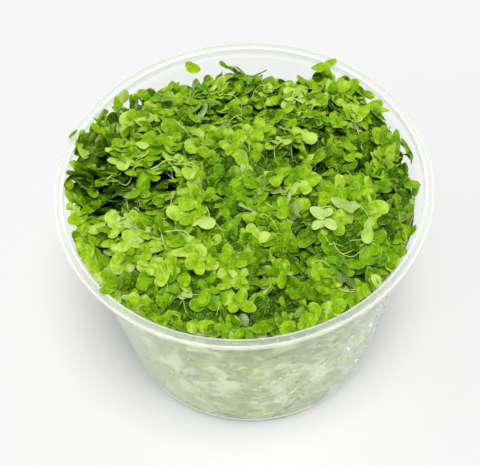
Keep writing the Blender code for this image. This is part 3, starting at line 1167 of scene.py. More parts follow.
# Which way the plants' faces lean in parts of the heap: x and y in millimetres, tilt and azimuth in degrees
LIES = (
    (-44, 12, 74, 334), (-45, 2, 62, 339), (-40, 17, 63, 318), (-35, 24, 68, 325), (-28, 27, 74, 311),
    (-36, 7, 46, 104), (-29, 8, 40, 76), (-20, 5, 44, 78), (-31, 1, 58, 80), (-22, -2, 48, 88),
    (-36, -3, 58, 88), (-26, -8, 40, 100), (-33, -11, 13, 278), (-40, -12, 13, 241), (-24, -13, 60, 350),
    (-19, -19, 15, 277), (-35, -22, 19, 274), (-25, -27, 30, 293), (-29, -32, 14, 131), (-17, -10, 13, 278),
    (-15, -21, 28, 233), (-11, 5, 39, 289), (-2, 1, 28, 272), (-3, -12, 34, 290), (5, -1, 46, 300),
    (7, -13, 22, 315), (0, -21, 20, 264), (-11, -29, 24, 224), (-9, -38, 18, 316), (-2, -37, 41, 174),
    (6, -38, 28, 320), (9, -27, 22, 274), (2, -44, 40, 270), (-19, 18, 30, 124), (-16, 32, 34, 150),
    (-8, 39, 36, 130), (0, 33, 49, 146), (3, 21, 38, 143), (-6, 22, 25, 26), (6, 35, 38, 112),
    (15, 26, 24, 40), (13, 13, 14, 111), (29, 26, 12, 320), (25, 13, 22, 350), (37, 17, 34, 342),
    (33, 6, 30, 328), (38, -4, 40, 338), (42, 6, 56, 350), (19, -3, 46, 158), (14, -10, 44, 164),
    (26, -6, 25, 321), (18, -21, 24, 273), (28, -16, 37, 194), (30, -23, 28, 299), (20, -28, 24, 311),
    (23, -35, 24, 320), (30, -32, 30, 320), (34, -24, 30, 170), (40, -13, 49, 343), (13, -20, 18, 10),
)

# Gaps that open between the heap's clumps: x, y, depth and spread in millimetres
GAPS = (
    (14.6, -18.9, 2.6, 2.0), (24.8, -14.6, 2.0, 1.8), (26.0, -22.1, 2.2, 1.8), (31.0, 1.8, 2.4, 2.4),
    (-10.3, 20.2, 2.6, 2.4), (-19.9, 21.1, 2.6, 2.6), (-3.3, 22.7, 2.0, 2.0), (-37.3, -4.5, 1.8, 2.2),
    (-35.2, -0.4, 1.0, 2.0), (2.2, -43.8, 2.5, 4.0), (-3.5, -17.5, 2.2, 1.8), (35.8, -25.4, 2.2, 2.0),
    (13.4, -25.1, 3.6, 2.0), (12.8, -31.5, 3.6, 2.2), (-15.5, -35.6, 3.0, 2.2), (-19.8, 5.5, 1.6, 2.4),
    (-12.3, -43.0, 2.4, 2.4), (-12.1, 1.4, 2.4, 1.8), (39.2, -8.6, 2.4, 2.4), (-30.5, -4.5, 1.8, 2.2),
    (-39.6, 10.7, 1.8, 2.2), (8.0, 29.0, 2.0, 2.2), (-27.0, 15.0, 2.2, 2.0), (21.0, 8.0, 2.0, 2.0),
    (28.5, 35.0, 1.6, 3.0), (12.0, 42.5, 1.2, 3.0), (-6.0, -33.5, 2.0, 1.8), (5.5, -37.0, 2.0, 1.8),
)

# Lighter and darker parts of the heap: x, y and spread in millimetres, and how much lighter
LIGHT_PARTS = (
    (-33, -11, 4, 0.30), (-19, -20, 6, 0.22), (-16, -29, 5, 0.22), (1, -29, 5, 0.24), (8, -37, 4, 0.16),
    (19, -20, 4, 0.20), (-18, 30, 7, 0.12), (-11, 4, 4, 0.14), (-6, -14, 4, 0.14), (22, -36, 5, 0.12),
    (-33, 2, 8, 0.16), (34, -22, 8, -0.12), (-10, -38, 7, -0.18), (-40, -24, 4, 0.10), (12, 26, 6, 0.06),
    (14, -36, 9, -0.16), (26, -34, 7, -0.12), (6, -22, 5, -0.08), (-26, -36, 6, -0.08), (-20, 2, 7, 0.18),
)

# How strongly plants lie flat where no lie is near
FLAT_PULL = np.array([0.0, 0.0, 0.03])


def lie_normals(x: Array, y: Array, reach: float) -> Array:
    """Unit normals that the plants' faces follow in each part of the heap.

    Args:
        x: places across.
        y: places towards the back.
        reach: spread in millimetres of the bell-shaped weight about each of the lies.

    Returns:
        Normals (n, 3): the weighted mean of the lies' directions, with a small weight for lying flat.
    """
    knot_x, knot_y, tilt, azimuth = np.array(LIES, float).T
    tilt, azimuth = np.radians(tilt), np.radians(azimuth)
    ways = np.stack([np.sin(tilt) * np.cos(azimuth), np.sin(tilt) * np.sin(azimuth), np.cos(tilt)], axis=-1)
    far = np.hypot(x[:, None] / MM - knot_x, y[:, None] / MM - knot_y) / reach
    total = bell(far) @ ways + FLAT_PULL
    return total / np.linalg.norm(total, axis=1)[:, None]


def shaken(normals: Array, degrees: float, rng: np.random.Generator, least_up: float = 0.12) -> Array:
    """Unit normals after a random tilt each, with the spread in degrees, none of them near level."""
    made = normals.copy()
    made[:, :2] += rng.normal(0, math.radians(degrees), (len(made), 2))
    made[:, 2] = np.maximum(made[:, 2], least_up)
    return made / np.linalg.norm(made, axis=1)[:, None]


@dataclass
class Clumps:
    """Patches of the heap whose plants lie alike, like tiles on a tilted slab.

    The reach of a lie and the stray of lifts are in millimetres, and the stray of tilts is in degrees.
    """

    places: Array
    normals: Array
    headings: Array
    lifts: Array
    tones: Array
    jitter: ClassVar[float] = 0.32
    lie_reach: ClassVar[float] = 4.5
    tilt_stray: ClassVar[float] = 13.0
    lift_stray: ClassVar[float] = 0.45
    tone_stray: ClassVar[float] = 0.09

    @classmethod
    def strewn(cls, radius: float, spacing: float, rng: np.random.Generator) -> Clumps:
        """Strews clumps over a circle.

        Args:
            radius: the circle's radius.
            spacing: mean distance between neighbours.
            rng: the source of chance, for places, tilts, headings, heights and tones.

        Returns:
            The clumps.
        """
        places = hex_places(radius, spacing, rng, cls.jitter)
        count = len(places)
        return cls(
            places=places,
            normals=shaken(lie_normals(places[:, 0], places[:, 1], cls.lie_reach), cls.tilt_stray, rng),
            headings=rng.uniform(0, 2 * math.pi, count),
            lifts=rng.normal(0.0, cls.lift_stray, count) * MM,
            tones=rng.normal(0.0, cls.tone_stray, count),
        )

    def nearest(self, x: Array, y: Array) -> tuple[Array, Array]:
        """The clump of each place, and how much farther its second nearest clump is."""
        far = np.hypot(x[:, None] - self.places[:, 0], y[:, None] - self.places[:, 1])
        order = np.partition(far, 1, axis=1)
        return far.argmin(axis=1), order[:, 1] - order[:, 0]


@dataclass
class Packing:
    """The crowd of plants: those on the heap's top, those against the wall and those on the floor.

    Tilts are in degrees, as is the ledge's row, which is its start, end and step. Other turns are in radians.
    The give and the pairs of heights, places and insets are in millimetres, and a tone is a mean lightness
    from 0 to 1 and its spread.
    """

    cup: Cup
    heap: Heap
    rng: np.random.Generator
    map_half: float = 52 * MM
    cell: float = 0.35 * MM
    depth: float = 6.4 * MM
    passes: int = 10
    spacing: float = 4.5 * MM
    jitter: float = 0.28
    habit_odds: tuple[float, ...] = (0.18, 0.34, 0.34, 0.14)
    top_margin: float = 1.2 * MM
    sample_around: int = 10
    sample_shares: Pair = (0.35, 0.7)
    squeeze: float = 82.0
    top_share: float = 88.0
    give_flat: float = 0.25
    give_steep: float = 2.4
    overtop: float = 0.7 * MM
    slab_rise: float = 0.9 * MM
    slab_fall: float = 2.8 * MM
    slab_steepest: float = 0.5
    crevice: float = 3.6 * MM
    crevice_width: float = 1.4 * MM
    clump_spacing: float = 7.8 * MM
    tilt_jitter: float = 12.0
    spin_jitter: float = 0.8
    gap_scale: float = 1.7
    lightness_mean: float = 0.55
    lightness_least: float = 0.02
    tone_spread: float = 0.17
    # Painted shade: fronds deep below the heap's surface get a darker tone. These give the depth over which
    # it grows, where it starts, how much darker, and how it fades towards the wall.
    painted_shade_reach: float = 3.5 * MM
    painted_shade_start: float = 0.25
    painted_shade_darker: float = 0.95
    painted_shade_wall_fade: float = 6 * MM
    painted_shade_wall_least: float = 0.1
    pale_odds: float = 0.06
    pale_range: Pair = (0.2, 0.7)
    brown_odds: float = 0.06
    brownness: float = 0.7
    edge_reach: float = 48.8 * MM
    edge_limit: float = 47.6 * MM
    edge_start: float = 42.0 * MM
    ledge_fill: float = 0.4 * MM
    ledge_sink: float = 1.2 * MM
    ledge_margin: float = 0.6 * MM
    ledge_from: float = -23.0 * MM
    ledge_row: tuple[float, float, float] = (207.0, 331.0, 2.3)
    ledge_stray: float = 0.015
    ledge_places: Pair = (-0.4, 0.5)
    ledge_heights: Pair = (0.4, 0.6)
    ledge_lean: Pair = (0.4, 0.9)
    ledge_tilt: float = 20.0
    ledge_tone: Pair = (0.46, 0.17)
    wall_radius: float = 43.0 * MM
    wall_spacing: float = 6.4 * MM
    wall_jitter: float = 0.30
    wall_tilt: float = 5
    wall_spin: float = 0.5
    wall_insets: Pair = (0.30, 0.18)
    wall_headroom: float = 0.6 * MM
    wall_tone: Pair = (0.76, 0.14)
    heel_plants: int = 30
    heel_heights: Pair = (2.2, 3.4)
    heel_top: float = 4.4 * MM
    # Plants at the heel, below this height, are given a darker tone as painted shade at the bottom of the
    # cup.
    low_top: float = 4.0 * MM
    heel_shaded_tone: float = 0.50
    floor_spacing: float = 4.6 * MM
    floor_jitter: float = 0.25
    floor_overlap: float = 1.6 * MM
    floor_heights: Pair = (0.3, 1.6)
    floor_tilt: float = 14
    floor_tone: Pair = (0.55, 0.18)
    heights: Array = field(init=False)

    def habits(self, reach: Array) -> list[Habit]:
        """Draws a habit for each plant by its distance from the axis: smaller ones fill in beside the rim."""
        picks = self.rng.choice(len(CROWD_HABITS), len(reach), p=self.habit_odds)
        return [EDGE_HABITS[k] if far > self.edge_start else CROWD_HABITS[k] for k, far in zip(picks, reach)]

    def limits(self, clumps: Clumps, x: Array, y: Array) -> Array:
        """How high plants may reach at each place.

        Args:
            clumps: the heap's clumps.
            x: places across.
            y: places towards the back.

        Returns:
            The height of the clump's slab, which passes over the heap's surface at the clump's centre and is
            square to its normal, held to a band about the surface, minus a crevice where clumps meet and
            minus the gaps. In front, plants beside the ledge may lie on it too.
        """
        index, border = clumps.nearest(x, y)
        centre, normal = clumps.places[index], clumps.normals[index]
        slope = normal[:, 0] * (x - centre[:, 0]) + normal[:, 1] * (y - centre[:, 1])
        fall = slope / np.maximum(normal[:, 2], self.slab_steepest)
        slab = self.heap.surface(centre[:, 0], centre[:, 1]) - fall + clumps.lifts[index]
        surface = self.heap.surface(x, y)
        top = np.clip(slab, surface - self.slab_fall, surface + self.slab_rise)
        top = top - self.crevice * np.exp(-((border / self.crevice_width) ** 2))
        for gap_x, gap_y, depth, spread in GAPS:
            far = np.hypot(x / MM - gap_x, y / MM - gap_y) / spread
            top = top - self.gap_scale * depth * MM * bell(far)
        full = (np.hypot(x, y) > self.edge_start) & (y < self.ledge_from)
        top = np.where(full, np.maximum(top, self.cup.ledge + self.ledge_fill), top)
        return top + self.overtop

    def tones(self, fronds: Fronds, mean: float | Array, spread: float) -> Array:
        """Lightness, paleness and brownness of each frond.

        Args:
            fronds: the fronds, of which those of one plant share most of their tone.
            mean: mean lightness, 0 to 1, one for all or one for each plant.
            spread: its standard deviation.

        Returns:
            An array (fronds, 3).
        """
        plants, count = fronds.owner.max() + 1, len(fronds.owner)
        light = mean + self.rng.normal(0, spread, plants)
        light = light[fronds.owner] + self.rng.normal(0, spread / 2, count)
        pale = (self.rng.random(plants) < self.pale_odds)[fronds.owner]
        pale = pale * self.rng.uniform(*self.pale_range, count)
        brown = (self.rng.random(count) < self.brown_odds) * self.brownness
        return np.stack([np.clip(light, self.lightness_least, 1.0), pale, brown], axis=-1)

    def lightness(self, x: Array, y: Array) -> Array:
        """Mean lightness of plants at each place: even, plus a bell curve about each of LIGHT_PARTS."""
        light = np.full(len(x), self.lightness_mean)
        for part_x, part_y, spread, rise in LIGHT_PARTS:
            light = light + rise * bell(np.hypot(x / MM - part_x, y / MM - part_y) / spread)
        return light

    def ground(self) -> Array:
        """The height map that plants settle on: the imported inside, the ledge and the flange."""
        side = np.arange(-self.map_half, self.map_half, self.cell)
        x, y = np.meshgrid(side, side, indexing="ij")
        radius = np.hypot(x, y)
        inside = self.heap.surface(x, y) - self.depth
        ledge = np.where(radius > self.cup.wall_top_radius - self.cup.wall, self.cup.ledge, inside)
        rim = np.where(radius > self.cup.lip_radius, self.cup.height, ledge)
        return np.maximum(rim, inside)

    def cells(self, points: Array) -> tuple[Array, Array]:
        """Row and column of the height map under each point."""
        index = ((points[..., :2] + self.map_half) / self.cell).astype(int)
        index = np.clip(index, 0, self.heights.shape[0] - 1)
        return index[..., 0], index[..., 1]

    def settle(self, places: Array, poses: Array, fronds: Fronds, limit: Array) -> tuple[Array, Array]:
        """Lets plants down one after another on the height map, each of which it then raises.

        A plant comes to rest where a set share of its sample points clears the map. A plant whose top then
        passes the limit is pressed down a little, more the steeper it stands, or else left out.

        Args:
            places: where each comes down, (plants, 2).
            poses: each plant's rotation.
            fronds: their fronds.
            limit: how high each may reach.

        Returns:
            A mask of the plants that stay, and every plant's height.
        """
        rings, tops, _, _ = fronds.local(self.sample_around, self.sample_shares)
        pose = poses[fronds.owner] @ fronds.turns()
        samples = np.concatenate([rings.reshape(len(tops), -1, 3), tops[:, None]], axis=1)
        samples = np.einsum("nij,nkj->nki", pose, samples)
        samples[..., :2] += places[fronds.owner][:, None, :]
        starts = np.searchsorted(fronds.owner, np.arange(len(places)))
        ends = np.append(starts[1:], len(fronds.owner))
        give = (self.give_flat + self.give_steep * (1 - poses[:, 2, 2] ** 2)) * MM
        stays = np.zeros(len(places), bool)
        heights = np.zeros(len(places))
        for k, (start, end) in enumerate(zip(starts, ends)):
            cloud = samples[start:end].reshape(-1, 3)
            if np.hypot(cloud[:, 0], cloud[:, 1]).max() > self.edge_reach:
                continue
            row, column = self.cells(cloud)
            rest = np.percentile(self.heights[row, column] - cloud[:, 2], self.squeeze)
            allowed = limit[k] - np.percentile(cloud[:, 2], self.top_share)
            if rest > allowed + give[k]:
                continue
            stays[k] = True
            heights[k] = min(rest, allowed)
            np.maximum.at(self.heights, (row, column), cloud[:, 2] + heights[k])
        return stays, heights

    def over_ledge(self, radius: Array, height: Array) -> Array:
        """A mask of the points that are over the ledge, or that sink only a little into it."""
        outside = radius > self.cup.wall_top_radius - self.ledge_margin
        return outside & (height > self.cup.ledge - self.ledge_sink)

    def press_inside(self, shells: Shells, clear: float = 0.10 * MM) -> Shells:
        """Presses every point that passes the cup's inner surface back onto it.

        Below the ledge the radius is held to the wall's, and above it to the edge limit. Heights are held
        above the floor, and points that sink a little into the ledge are raised onto it.
        """
        for points in (shells.rings, shells.tops, shells.bottoms):
            radius = np.hypot(points[..., 0], points[..., 1])
            height = np.maximum(points[..., 2], self.cup.floor + clear)
            over = self.over_ledge(radius, height)
            height = np.where(over, np.maximum(height, self.cup.ledge + 1.2 * clear), height)
            points[..., 2] = height
            limit = self.cup.inner_radius(np.minimum(height, self.cup.ledge)) - clear
            limit = np.where(height > self.cup.ledge + clear, self.edge_limit, limit)
            share = np.minimum(1.0, limit / np.maximum(radius, 1e-9))
            points[..., 0] *= share
            points[..., 1] *= share
        return shells

    def top(self) -> Shells:
        """The plants that make the heap's top, in passes from the lowest up."""
        self.heights = self.ground()
        clumps = Clumps.strewn(self.cup.rim_radius, self.clump_spacing, self.rng)
        made = []
        for level in range(self.passes):
            places = hex_places(self.cup.lip_radius - self.top_margin, self.spacing, self.rng, self.jitter)
            x, y = places.T
            index, _ = clumps.nearest(x, y)
            normals = shaken(clumps.normals[index], self.tilt_jitter, self.rng)
            spin = clumps.headings[index] + self.rng.normal(0, self.spin_jitter, len(places))
            poses = turn_up_to(normals) @ turn_about(2, spin)
            fronds = Fronds.of_plants(self.habits(np.hypot(x, y)), self.rng)
            limit = self.limits(clumps, x, y)
            stays, heights = self.settle(places, poses, fronds, limit)
            joints = np.column_stack([places, heights])
            # Painted shade: the deeper a plant sits below the heap's surface, the darker its tone, less so
            # beside the wall
            deep = np.clip((self.heap.surface(x, y) - heights) / self.painted_shade_reach - self.painted_shade_start, 0, 1)
            inward = (self.cup.wall_top_radius - np.hypot(x, y)) / self.painted_shade_wall_fade
            darker = self.painted_shade_darker * deep * np.clip(inward, self.painted_shade_wall_least, 1)
            mean = self.lightness(x, y) + clumps.tones[index] - darker
            tones = self.tones(fronds, mean, self.tone_spread)
            made.append(fronds.shells(joints, poses, tones).chosen(stays[fronds.owner]))
            LOG.info("top pass %d: %d of %d plants stay", level, stays.sum(), len(stays))
        made.append(self.along_ledge())
        return self.press_inside(self.eased(gathered(made)))

    def eased(self, shells: Shells, clear: float = 0.12 * MM) -> Shells:
        """Moves whole fronds that pass the ledge or the lip, so that they keep their shape.

        Args:
            shells: the fronds.
            clear: how far above the ledge a frond stays.

        Returns:
            The fronds, each raised by the most that any of its points sinks a little into the ledge, and
            then moved inwards by the most that any point above the ledge passes the edge limit.
        """
        radius = np.hypot(shells.rings[..., 0], shells.rings[..., 1])
        height = shells.rings[..., 2]
        over = self.over_ledge(radius, height)
        lift = np.maximum(0.0, np.where(over, self.cup.ledge + clear - height, 0.0).max(axis=(1, 2)))
        above = height + lift[:, None, None] > self.cup.ledge
        inward = np.maximum(0.0, np.where(above, radius - self.edge_limit, 0.0).max(axis=(1, 2)))
        middle = shells.rings.mean(axis=(1, 2))
        shift = -middle * (inward / np.hypot(middle[:, 0], middle[:, 1]))[:, None]
        shift[:, 2] = lift
        shells.move(shift)
        return shells

    def along_ledge(self) -> Shells:
        """The small plants that lie in a row along the front of the ledge, leaning outwards."""
        azimuth = np.radians(np.arange(*self.ledge_row))
        count = len(azimuth)
        azimuth += self.rng.normal(0, self.ledge_stray, count)
        radius = self.cup.wall_top_radius + self.rng.normal(*self.ledge_places, count) * MM
        least, spread = self.ledge_heights
        height = self.cup.ledge + (least + np.abs(self.rng.normal(0, spread, count))) * MM
        outward, up = self.ledge_lean
        leans = shaken(round_places(outward, azimuth, np.full(count, up)), self.ledge_tilt, self.rng)
        poses = turn_up_to(leans) @ turn_about(2, self.rng.uniform(0, 2 * math.pi, count))
        fronds = Fronds.of_plants(self.habits(radius), self.rng)
        tones = self.tones(fronds, *self.ledge_tone)
        return fronds.shells(round_places(radius, azimuth, height), poses, tones)

    def against_wall(self) -> Shells:
        """The plants pressed flat against the wall, lying across with gaps between, and a row at the heel."""
        strip = 2 * math.pi * self.wall_radius
        places = hex_places(strip / 2, self.wall_spacing, self.rng, self.wall_jitter)
        azimuth = places[:, 0] / self.wall_radius
        height = places[:, 1] + self.cup.height / 2
        under = height < self.heap.edge(azimuth) - self.wall_headroom
        keep = (abs(azimuth) < math.pi) & (height > self.heel_top) & under
        heel = np.linspace(-math.pi, math.pi, self.heel_plants, endpoint=False)
        low = self.rng.uniform(*self.heel_heights, self.heel_plants) * MM
        azimuth, height = np.append(azimuth[keep], heel), np.append(height[keep], low)
        count = len(azimuth)
        least, stray = self.wall_insets
        inward = least * MM + np.abs(self.rng.normal(0, stray * MM, count))
        joints = round_places(self.cup.inner_radius(height) - inward, azimuth, height)
        tilt = self.rng.normal(0, math.radians(self.wall_tilt), (count, 2))
        side = self.rng.choice((-1.0, 1.0), count)
        spin = turn_about(2, side * math.pi / 2 + self.rng.normal(0, self.wall_spin, count))
        out = self.cup.facing_out(azimuth)
        poses = out @ turn_about(0, tilt[:, 0]) @ turn_about(1, tilt[:, 1]) @ spin
        fronds = Fronds.of_plants(self.habits(np.zeros(count)), self.rng)
        mean, spread = self.wall_tone
        # Painted shade: the plants at the heel get a darker tone.
        tones = self.tones(fronds, np.where(height < self.low_top, self.heel_shaded_tone, mean), spread)
        return self.press_inside(fronds.shells(joints, poses, tones))

    def on_floor(self) -> Shells:
        """The plants on the floor, face down."""
        reach = self.cup.heel[0] + self.floor_overlap
        places = hex_places(reach, self.floor_spacing, self.rng, self.floor_jitter)
        count = len(places)
        height = self.cup.floor + self.rng.uniform(*self.floor_heights, count) * MM
        tilt = self.rng.normal(0, math.radians(self.floor_tilt), (count, 2))
        spin = turn_about(2, self.rng.uniform(0, 2 * math.pi, count))
        poses = turn_about(0, tilt[:, 0] + math.pi) @ turn_about(1, tilt[:, 1]) @ spin
        fronds = Fronds.of_plants(self.habits(np.zeros(count)), self.rng)
        tones = self.tones(fronds, *self.floor_tone)
        return self.press_inside(fronds.shells(np.column_stack([places, height]), poses, tones))

    def build(self, material: bpy.types.Material) -> None:
        """Makes the crowd as a few pieces by side, so that none grows too large."""
        heap = self.top()
        azimuth = np.degrees(np.arctan2(heap.tops[:, 1], heap.tops[:, 0]))
        side = ((azimuth + 45) % 360 // 90).astype(int)
        for k, word in enumerate(("right", "back", "left", "front")):
            dress_packed(heap.chosen(side == k).build(f"heap_fronds_{word}", material))
        dress_packed(self.against_wall().build("wall_fronds", material))
        dress_packed(self.on_floor().build("floor_fronds", material))


@dataclass(frozen=True)
class Blade:
    """A frond that stands on edge: both its ends and its width in millimetres, and its lightness."""

    start: tuple[float, float, float]
    end: tuple[float, float, float]
    width: float
    light: float


BLADES = tuple(Blade(*row) for row in (
    ((1.7, 39.6, 67.6), (-3.5, 43.1, 70.6), 2.4, 0.26),
    ((4.2, 38.9, 67.8), (0.2, 41.5, 70.8), 4.2, 0.34),
    ((3.7, 37.8, 67.8), (9.8, 38.0, 70.6), 2.6, 0.30),
    ((0.9, 40.1, 67.8), (6.7, 35.4, 70.0), 4.4, 0.40),
    ((-2.5, 40.1, 66.0), (2.5, 38.6, 69.0), 4.2, 0.36),
    ((41.9, 4.1, 68.5), (42.6, 10.9, 72.3), 2.2, 0.30),
    ((46.0, 2.6, 69.0), (43.9, 8.0, 71.5), 2.2, 0.24),
    ((44.4, -9.5, 68.2), (45.6, -4.9, 69.5), 2.0, 0.30),
))


@dataclass
class Blades:
    """The fronds that stand on edge, finer than the crowd."""

    rng: np.random.Generator
    lean: tuple[float, float, float] = (0.0, 0.62, 0.78)
    bend: float = 0.2
    thickness: float = 0.4 * MM
    around: int = 28
    shares: tuple[float, ...] = (0.3, 0.6, 0.85)

    def build(self, material: bpy.types.Material) -> None:
        """Makes them.

        A blade's length runs from its start to its end. Its face is square to that, as near as it can be to
        the direction in which the blades lean.
        """
        starts = np.array([blade.start for blade in BLADES]) * MM
        ends = np.array([blade.end for blade in BLADES]) * MM
        count = len(BLADES)
        length = np.linalg.norm(ends - starts, axis=1)
        along = (ends - starts) / length[:, None]
        lean = np.array(self.lean)
        face = lean - (along @ lean)[:, None] * along
        face /= np.linalg.norm(face, axis=1)[:, None]
        poses = np.stack([along, np.cross(face, along), face], axis=-1)
        still = np.zeros(count)
        bends = np.column_stack([np.full(count, self.bend), self.rng.normal(0, self.bend, (count, 2))]) * MM
        waves = drawn_waves(count, self.rng)
        width = np.array([blade.width for blade in BLADES]) * MM
        thick = np.full(count, self.thickness)
        owner = np.arange(count)
        fronds = Fronds(owner, still, length, width, still, still, bends, waves, thick, joint_reach=1.0)
        tones = np.column_stack([[blade.light for blade in BLADES], still, still])
        shells = fronds.shells(starts, poses, tones, self.around, self.shares)
        dress_packed(shells.build("edge_blades", material))


@dataclass
class PackedInside:
    """The body of plants under those that are modelled one by one."""

    cup: Cup
    heap: Heap
    top_depth: float = 6.4 * MM
    edge_depth: float = 3.2 * MM
    wall_depth: float = 1.5 * MM
    floor_depth: float = 1.9 * MM
    roughness: float = 0.22 * MM
    turn_waves: Pair = (37, 9)
    fall_waves: tuple[float, float, float] = (41, 5, 7)
    top_start: float = 0.04
    side_start: float = 0.03
    edge_power: int = 12
    around: int = 240
    rows: int = 40
    shoulder_rows: int = 4

    def build(self, material: bpy.types.Material) -> bpy.types.Object:
        """Makes the closed body.

        Rings run from the top's middle out to the edge and down the wall: on top the radius grows evenly and
        the height is the heap's surface minus a depth that is less at the edge, and on the side the radius is
        the wall's minus a depth. The side is roughened by a product of sines of the turn and the fall.

        Returns:
            The object.
        """
        turn = np.linspace(0, 2 * math.pi, self.around, endpoint=False)
        top_radius = self.cup.inner_radius(self.heap.edge(turn) - self.edge_depth) - self.wall_depth
        share = np.linspace(self.top_start, 1.0, self.rows)[:, None]
        top_x, top_y = share * top_radius * np.cos(turn), share * top_radius * np.sin(turn)
        top_z = self.heap.surface(top_x, top_y) - self.top_depth
        top_z = top_z + (self.top_depth - self.edge_depth) * share ** self.edge_power
        fall = np.linspace(self.side_start, 1.0, self.rows)[:, None]
        low = self.cup.floor + self.floor_depth
        side_z = top_z[-1] + (low - top_z[-1]) * fall
        (round_first, down_first), (down_second, swing, round_second) = self.turn_waves, self.fall_waves
        rough = self.roughness * np.sin(round_first * turn + down_first * fall)
        rough = rough * np.sin(down_second * fall + swing * np.sin(round_second * turn))
        side_radius = self.cup.inner_radius(side_z) - self.wall_depth + rough
        side_x, side_y = side_radius * np.cos(turn), side_radius * np.sin(turn)
        rings = np.stack([
            np.concatenate([top_x, side_x]),
            np.concatenate([top_y, side_y]),
            np.concatenate([top_z, side_z]),
        ], axis=-1)
        peak = float(self.heap.surface(np.array(0.0), np.array(0.0))) - self.top_depth
        side = np.zeros((1,) + rings.shape)
        side[0, self.rows:, :, 0] = 1.0
        side[0, self.rows - self.shoulder_rows:, :, 1] = 1.0
        carried = {"packed_side": (side, np.zeros((1, 3)), np.zeros((1, 3)))}
        shell = Shells(rings[None], np.array([[0, 0, peak]]), np.array([[0, 0, low]]), carried)
        made = shell.build("packed_inside", material)
        dress_packed(made)
        return made


@dataclass(frozen=True)
class LoosePlant:
    """One separate plant of the model: its node, place in millimetres, heading and tilt, habit and colour."""

    node: str
    x: float
    y: float
    heading: float
    tilt: float
    habit: Habit
    light: float = 0.6
    pale: float = 0.0


LOOSE_PLANTS = tuple(LoosePlant(*row) for row in (
    ("rim_plant_back_right", 26.7, 37.2, 183, 4, Habit.SPREAD, 0.62),
    ("rim_plant_front_left", -34.0, -31.0, 180, 6, Habit.FAN, 0.45),
    ("edge_plant_back_left", -12.9, 45.2, 308, 6, Habit.BROAD, 0.66),
    ("edge_plant_back", 2.1, 41.8, 45, 58, Habit.STANDING, 0.12),
    ("edge_plant_left_high", -46.4, 18.2, 135, 50, Habit.SLIM, 0.3),
    ("edge_plant_left_low", -45.6, -0.1, 100, 8, Habit.SMALL, 0.5),
    ("edge_plant_right_high", 44.8, 4.8, 21, 68, Habit.STANDING, 0.2),
    ("edge_plant_right_low", 42.6, -6.4, 8, 8, Habit.SINGLE, 0.4),
    ("top_plant_01", 19.2, -19.4, 110, 8, Habit.FOUR, 0.8, 0.75),
    ("top_plant_02", 26.0, -15.2, 140, 6, Habit.TRIO, 0.6, 0.6),
    ("top_plant_03", 30.0, -22.5, 250, 10, Habit.PAIR, 0.75, 0.4),
    ("top_plant_04", -2.0, 4.0, 300, 6, Habit.FOUR, 0.7),
    ("top_plant_05", -26.5, -4.5, 80, 16, Habit.TRIO, 0.4),
    ("top_plant_06", -29.5, -19.5, 10, 8, Habit.FOUR, 0.8, 0.1),
    ("top_plant_07", -36.4, -11.6, 200, 12, Habit.PAIR, 0.9, 0.2),
    ("top_plant_08", -3.5, -38.5, 330, 12, Habit.TRIO, 0.6),
    ("top_plant_09", 30.0, 4.0, 110, 10, Habit.TRIO, 0.55),
    ("top_plant_10", 9.5, 14.5, 220, 12, Habit.PAIR, 0.5),
    ("top_plant_11", -11.0, 19.0, 40, 14, Habit.TRIO, 0.5),
    ("top_plant_12", -20.5, 30.5, 150, 16, Habit.PAIR, 0.5),
    ("top_plant_13", 15.0, 30.5, 270, 14, Habit.TRIO, 0.5),
    ("top_plant_14", -12.5, -11.5, 190, 8, Habit.TRIO, 0.6),
    ("top_plant_15", 9.5, -6.0, 60, 8, Habit.PAIR, 0.55),
    ("top_plant_16", -13.0, -28.0, 100, 10, Habit.FOUR, 0.65),
))


@dataclass
class LoosePlants:
    """The separate plants, finer than the crowd, each where its node is."""

    heap: Heap
    rng: np.random.Generator
    loose_on_heap: float = 0.45
    loose_at_edge: float = 0.12
    slimmer: float = 0.9
    tone_stray: float = 0.05
    around: int = 28
    shares: tuple[float, ...] = (0.3, 0.6, 0.85)

    def build(self, material: bpy.types.Material) -> None:
        """Makes each plant at its heading and tilt, and centres it on its node's box."""
        for plant in LOOSE_PLANTS:
            on_heap = plant.node.startswith("top_plant")
            normal = self.heap.normal(plant.x * MM, plant.y * MM) if on_heap else np.array([0.0, 0.0, 1.0])
            heading, tilt = np.radians(plant.heading), np.radians(plant.tilt)
            pose = turn_up_to(normal[None])[0] @ turn_about(2, heading) @ turn_about(1, tilt)
            loose = self.loose_on_heap if on_heap else self.loose_at_edge
            fronds = Fronds.of_plants([plant.habit], self.rng, loose)
            fronds.width *= self.slimmer
            tones = np.tile([plant.light, plant.pale, 0.0], (len(fronds.owner), 1))
            tones[:, 0] += self.rng.normal(0, self.tone_stray, len(tones))
            joint = np.array([[plant.x * MM, plant.y * MM, 0.0]])
            shells = fronds.shells(joint, pose[None], tones, self.around, self.shares)
            low, high = (np.array(corner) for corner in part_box(plant.node))
            points = shells.vertices()
            shells.move(((low + high) / 2 - (points.min(axis=0) + points.max(axis=0)) / 2)[None])
            dress(shells.build(f"{plant.node}_fronds", material), plant.node)


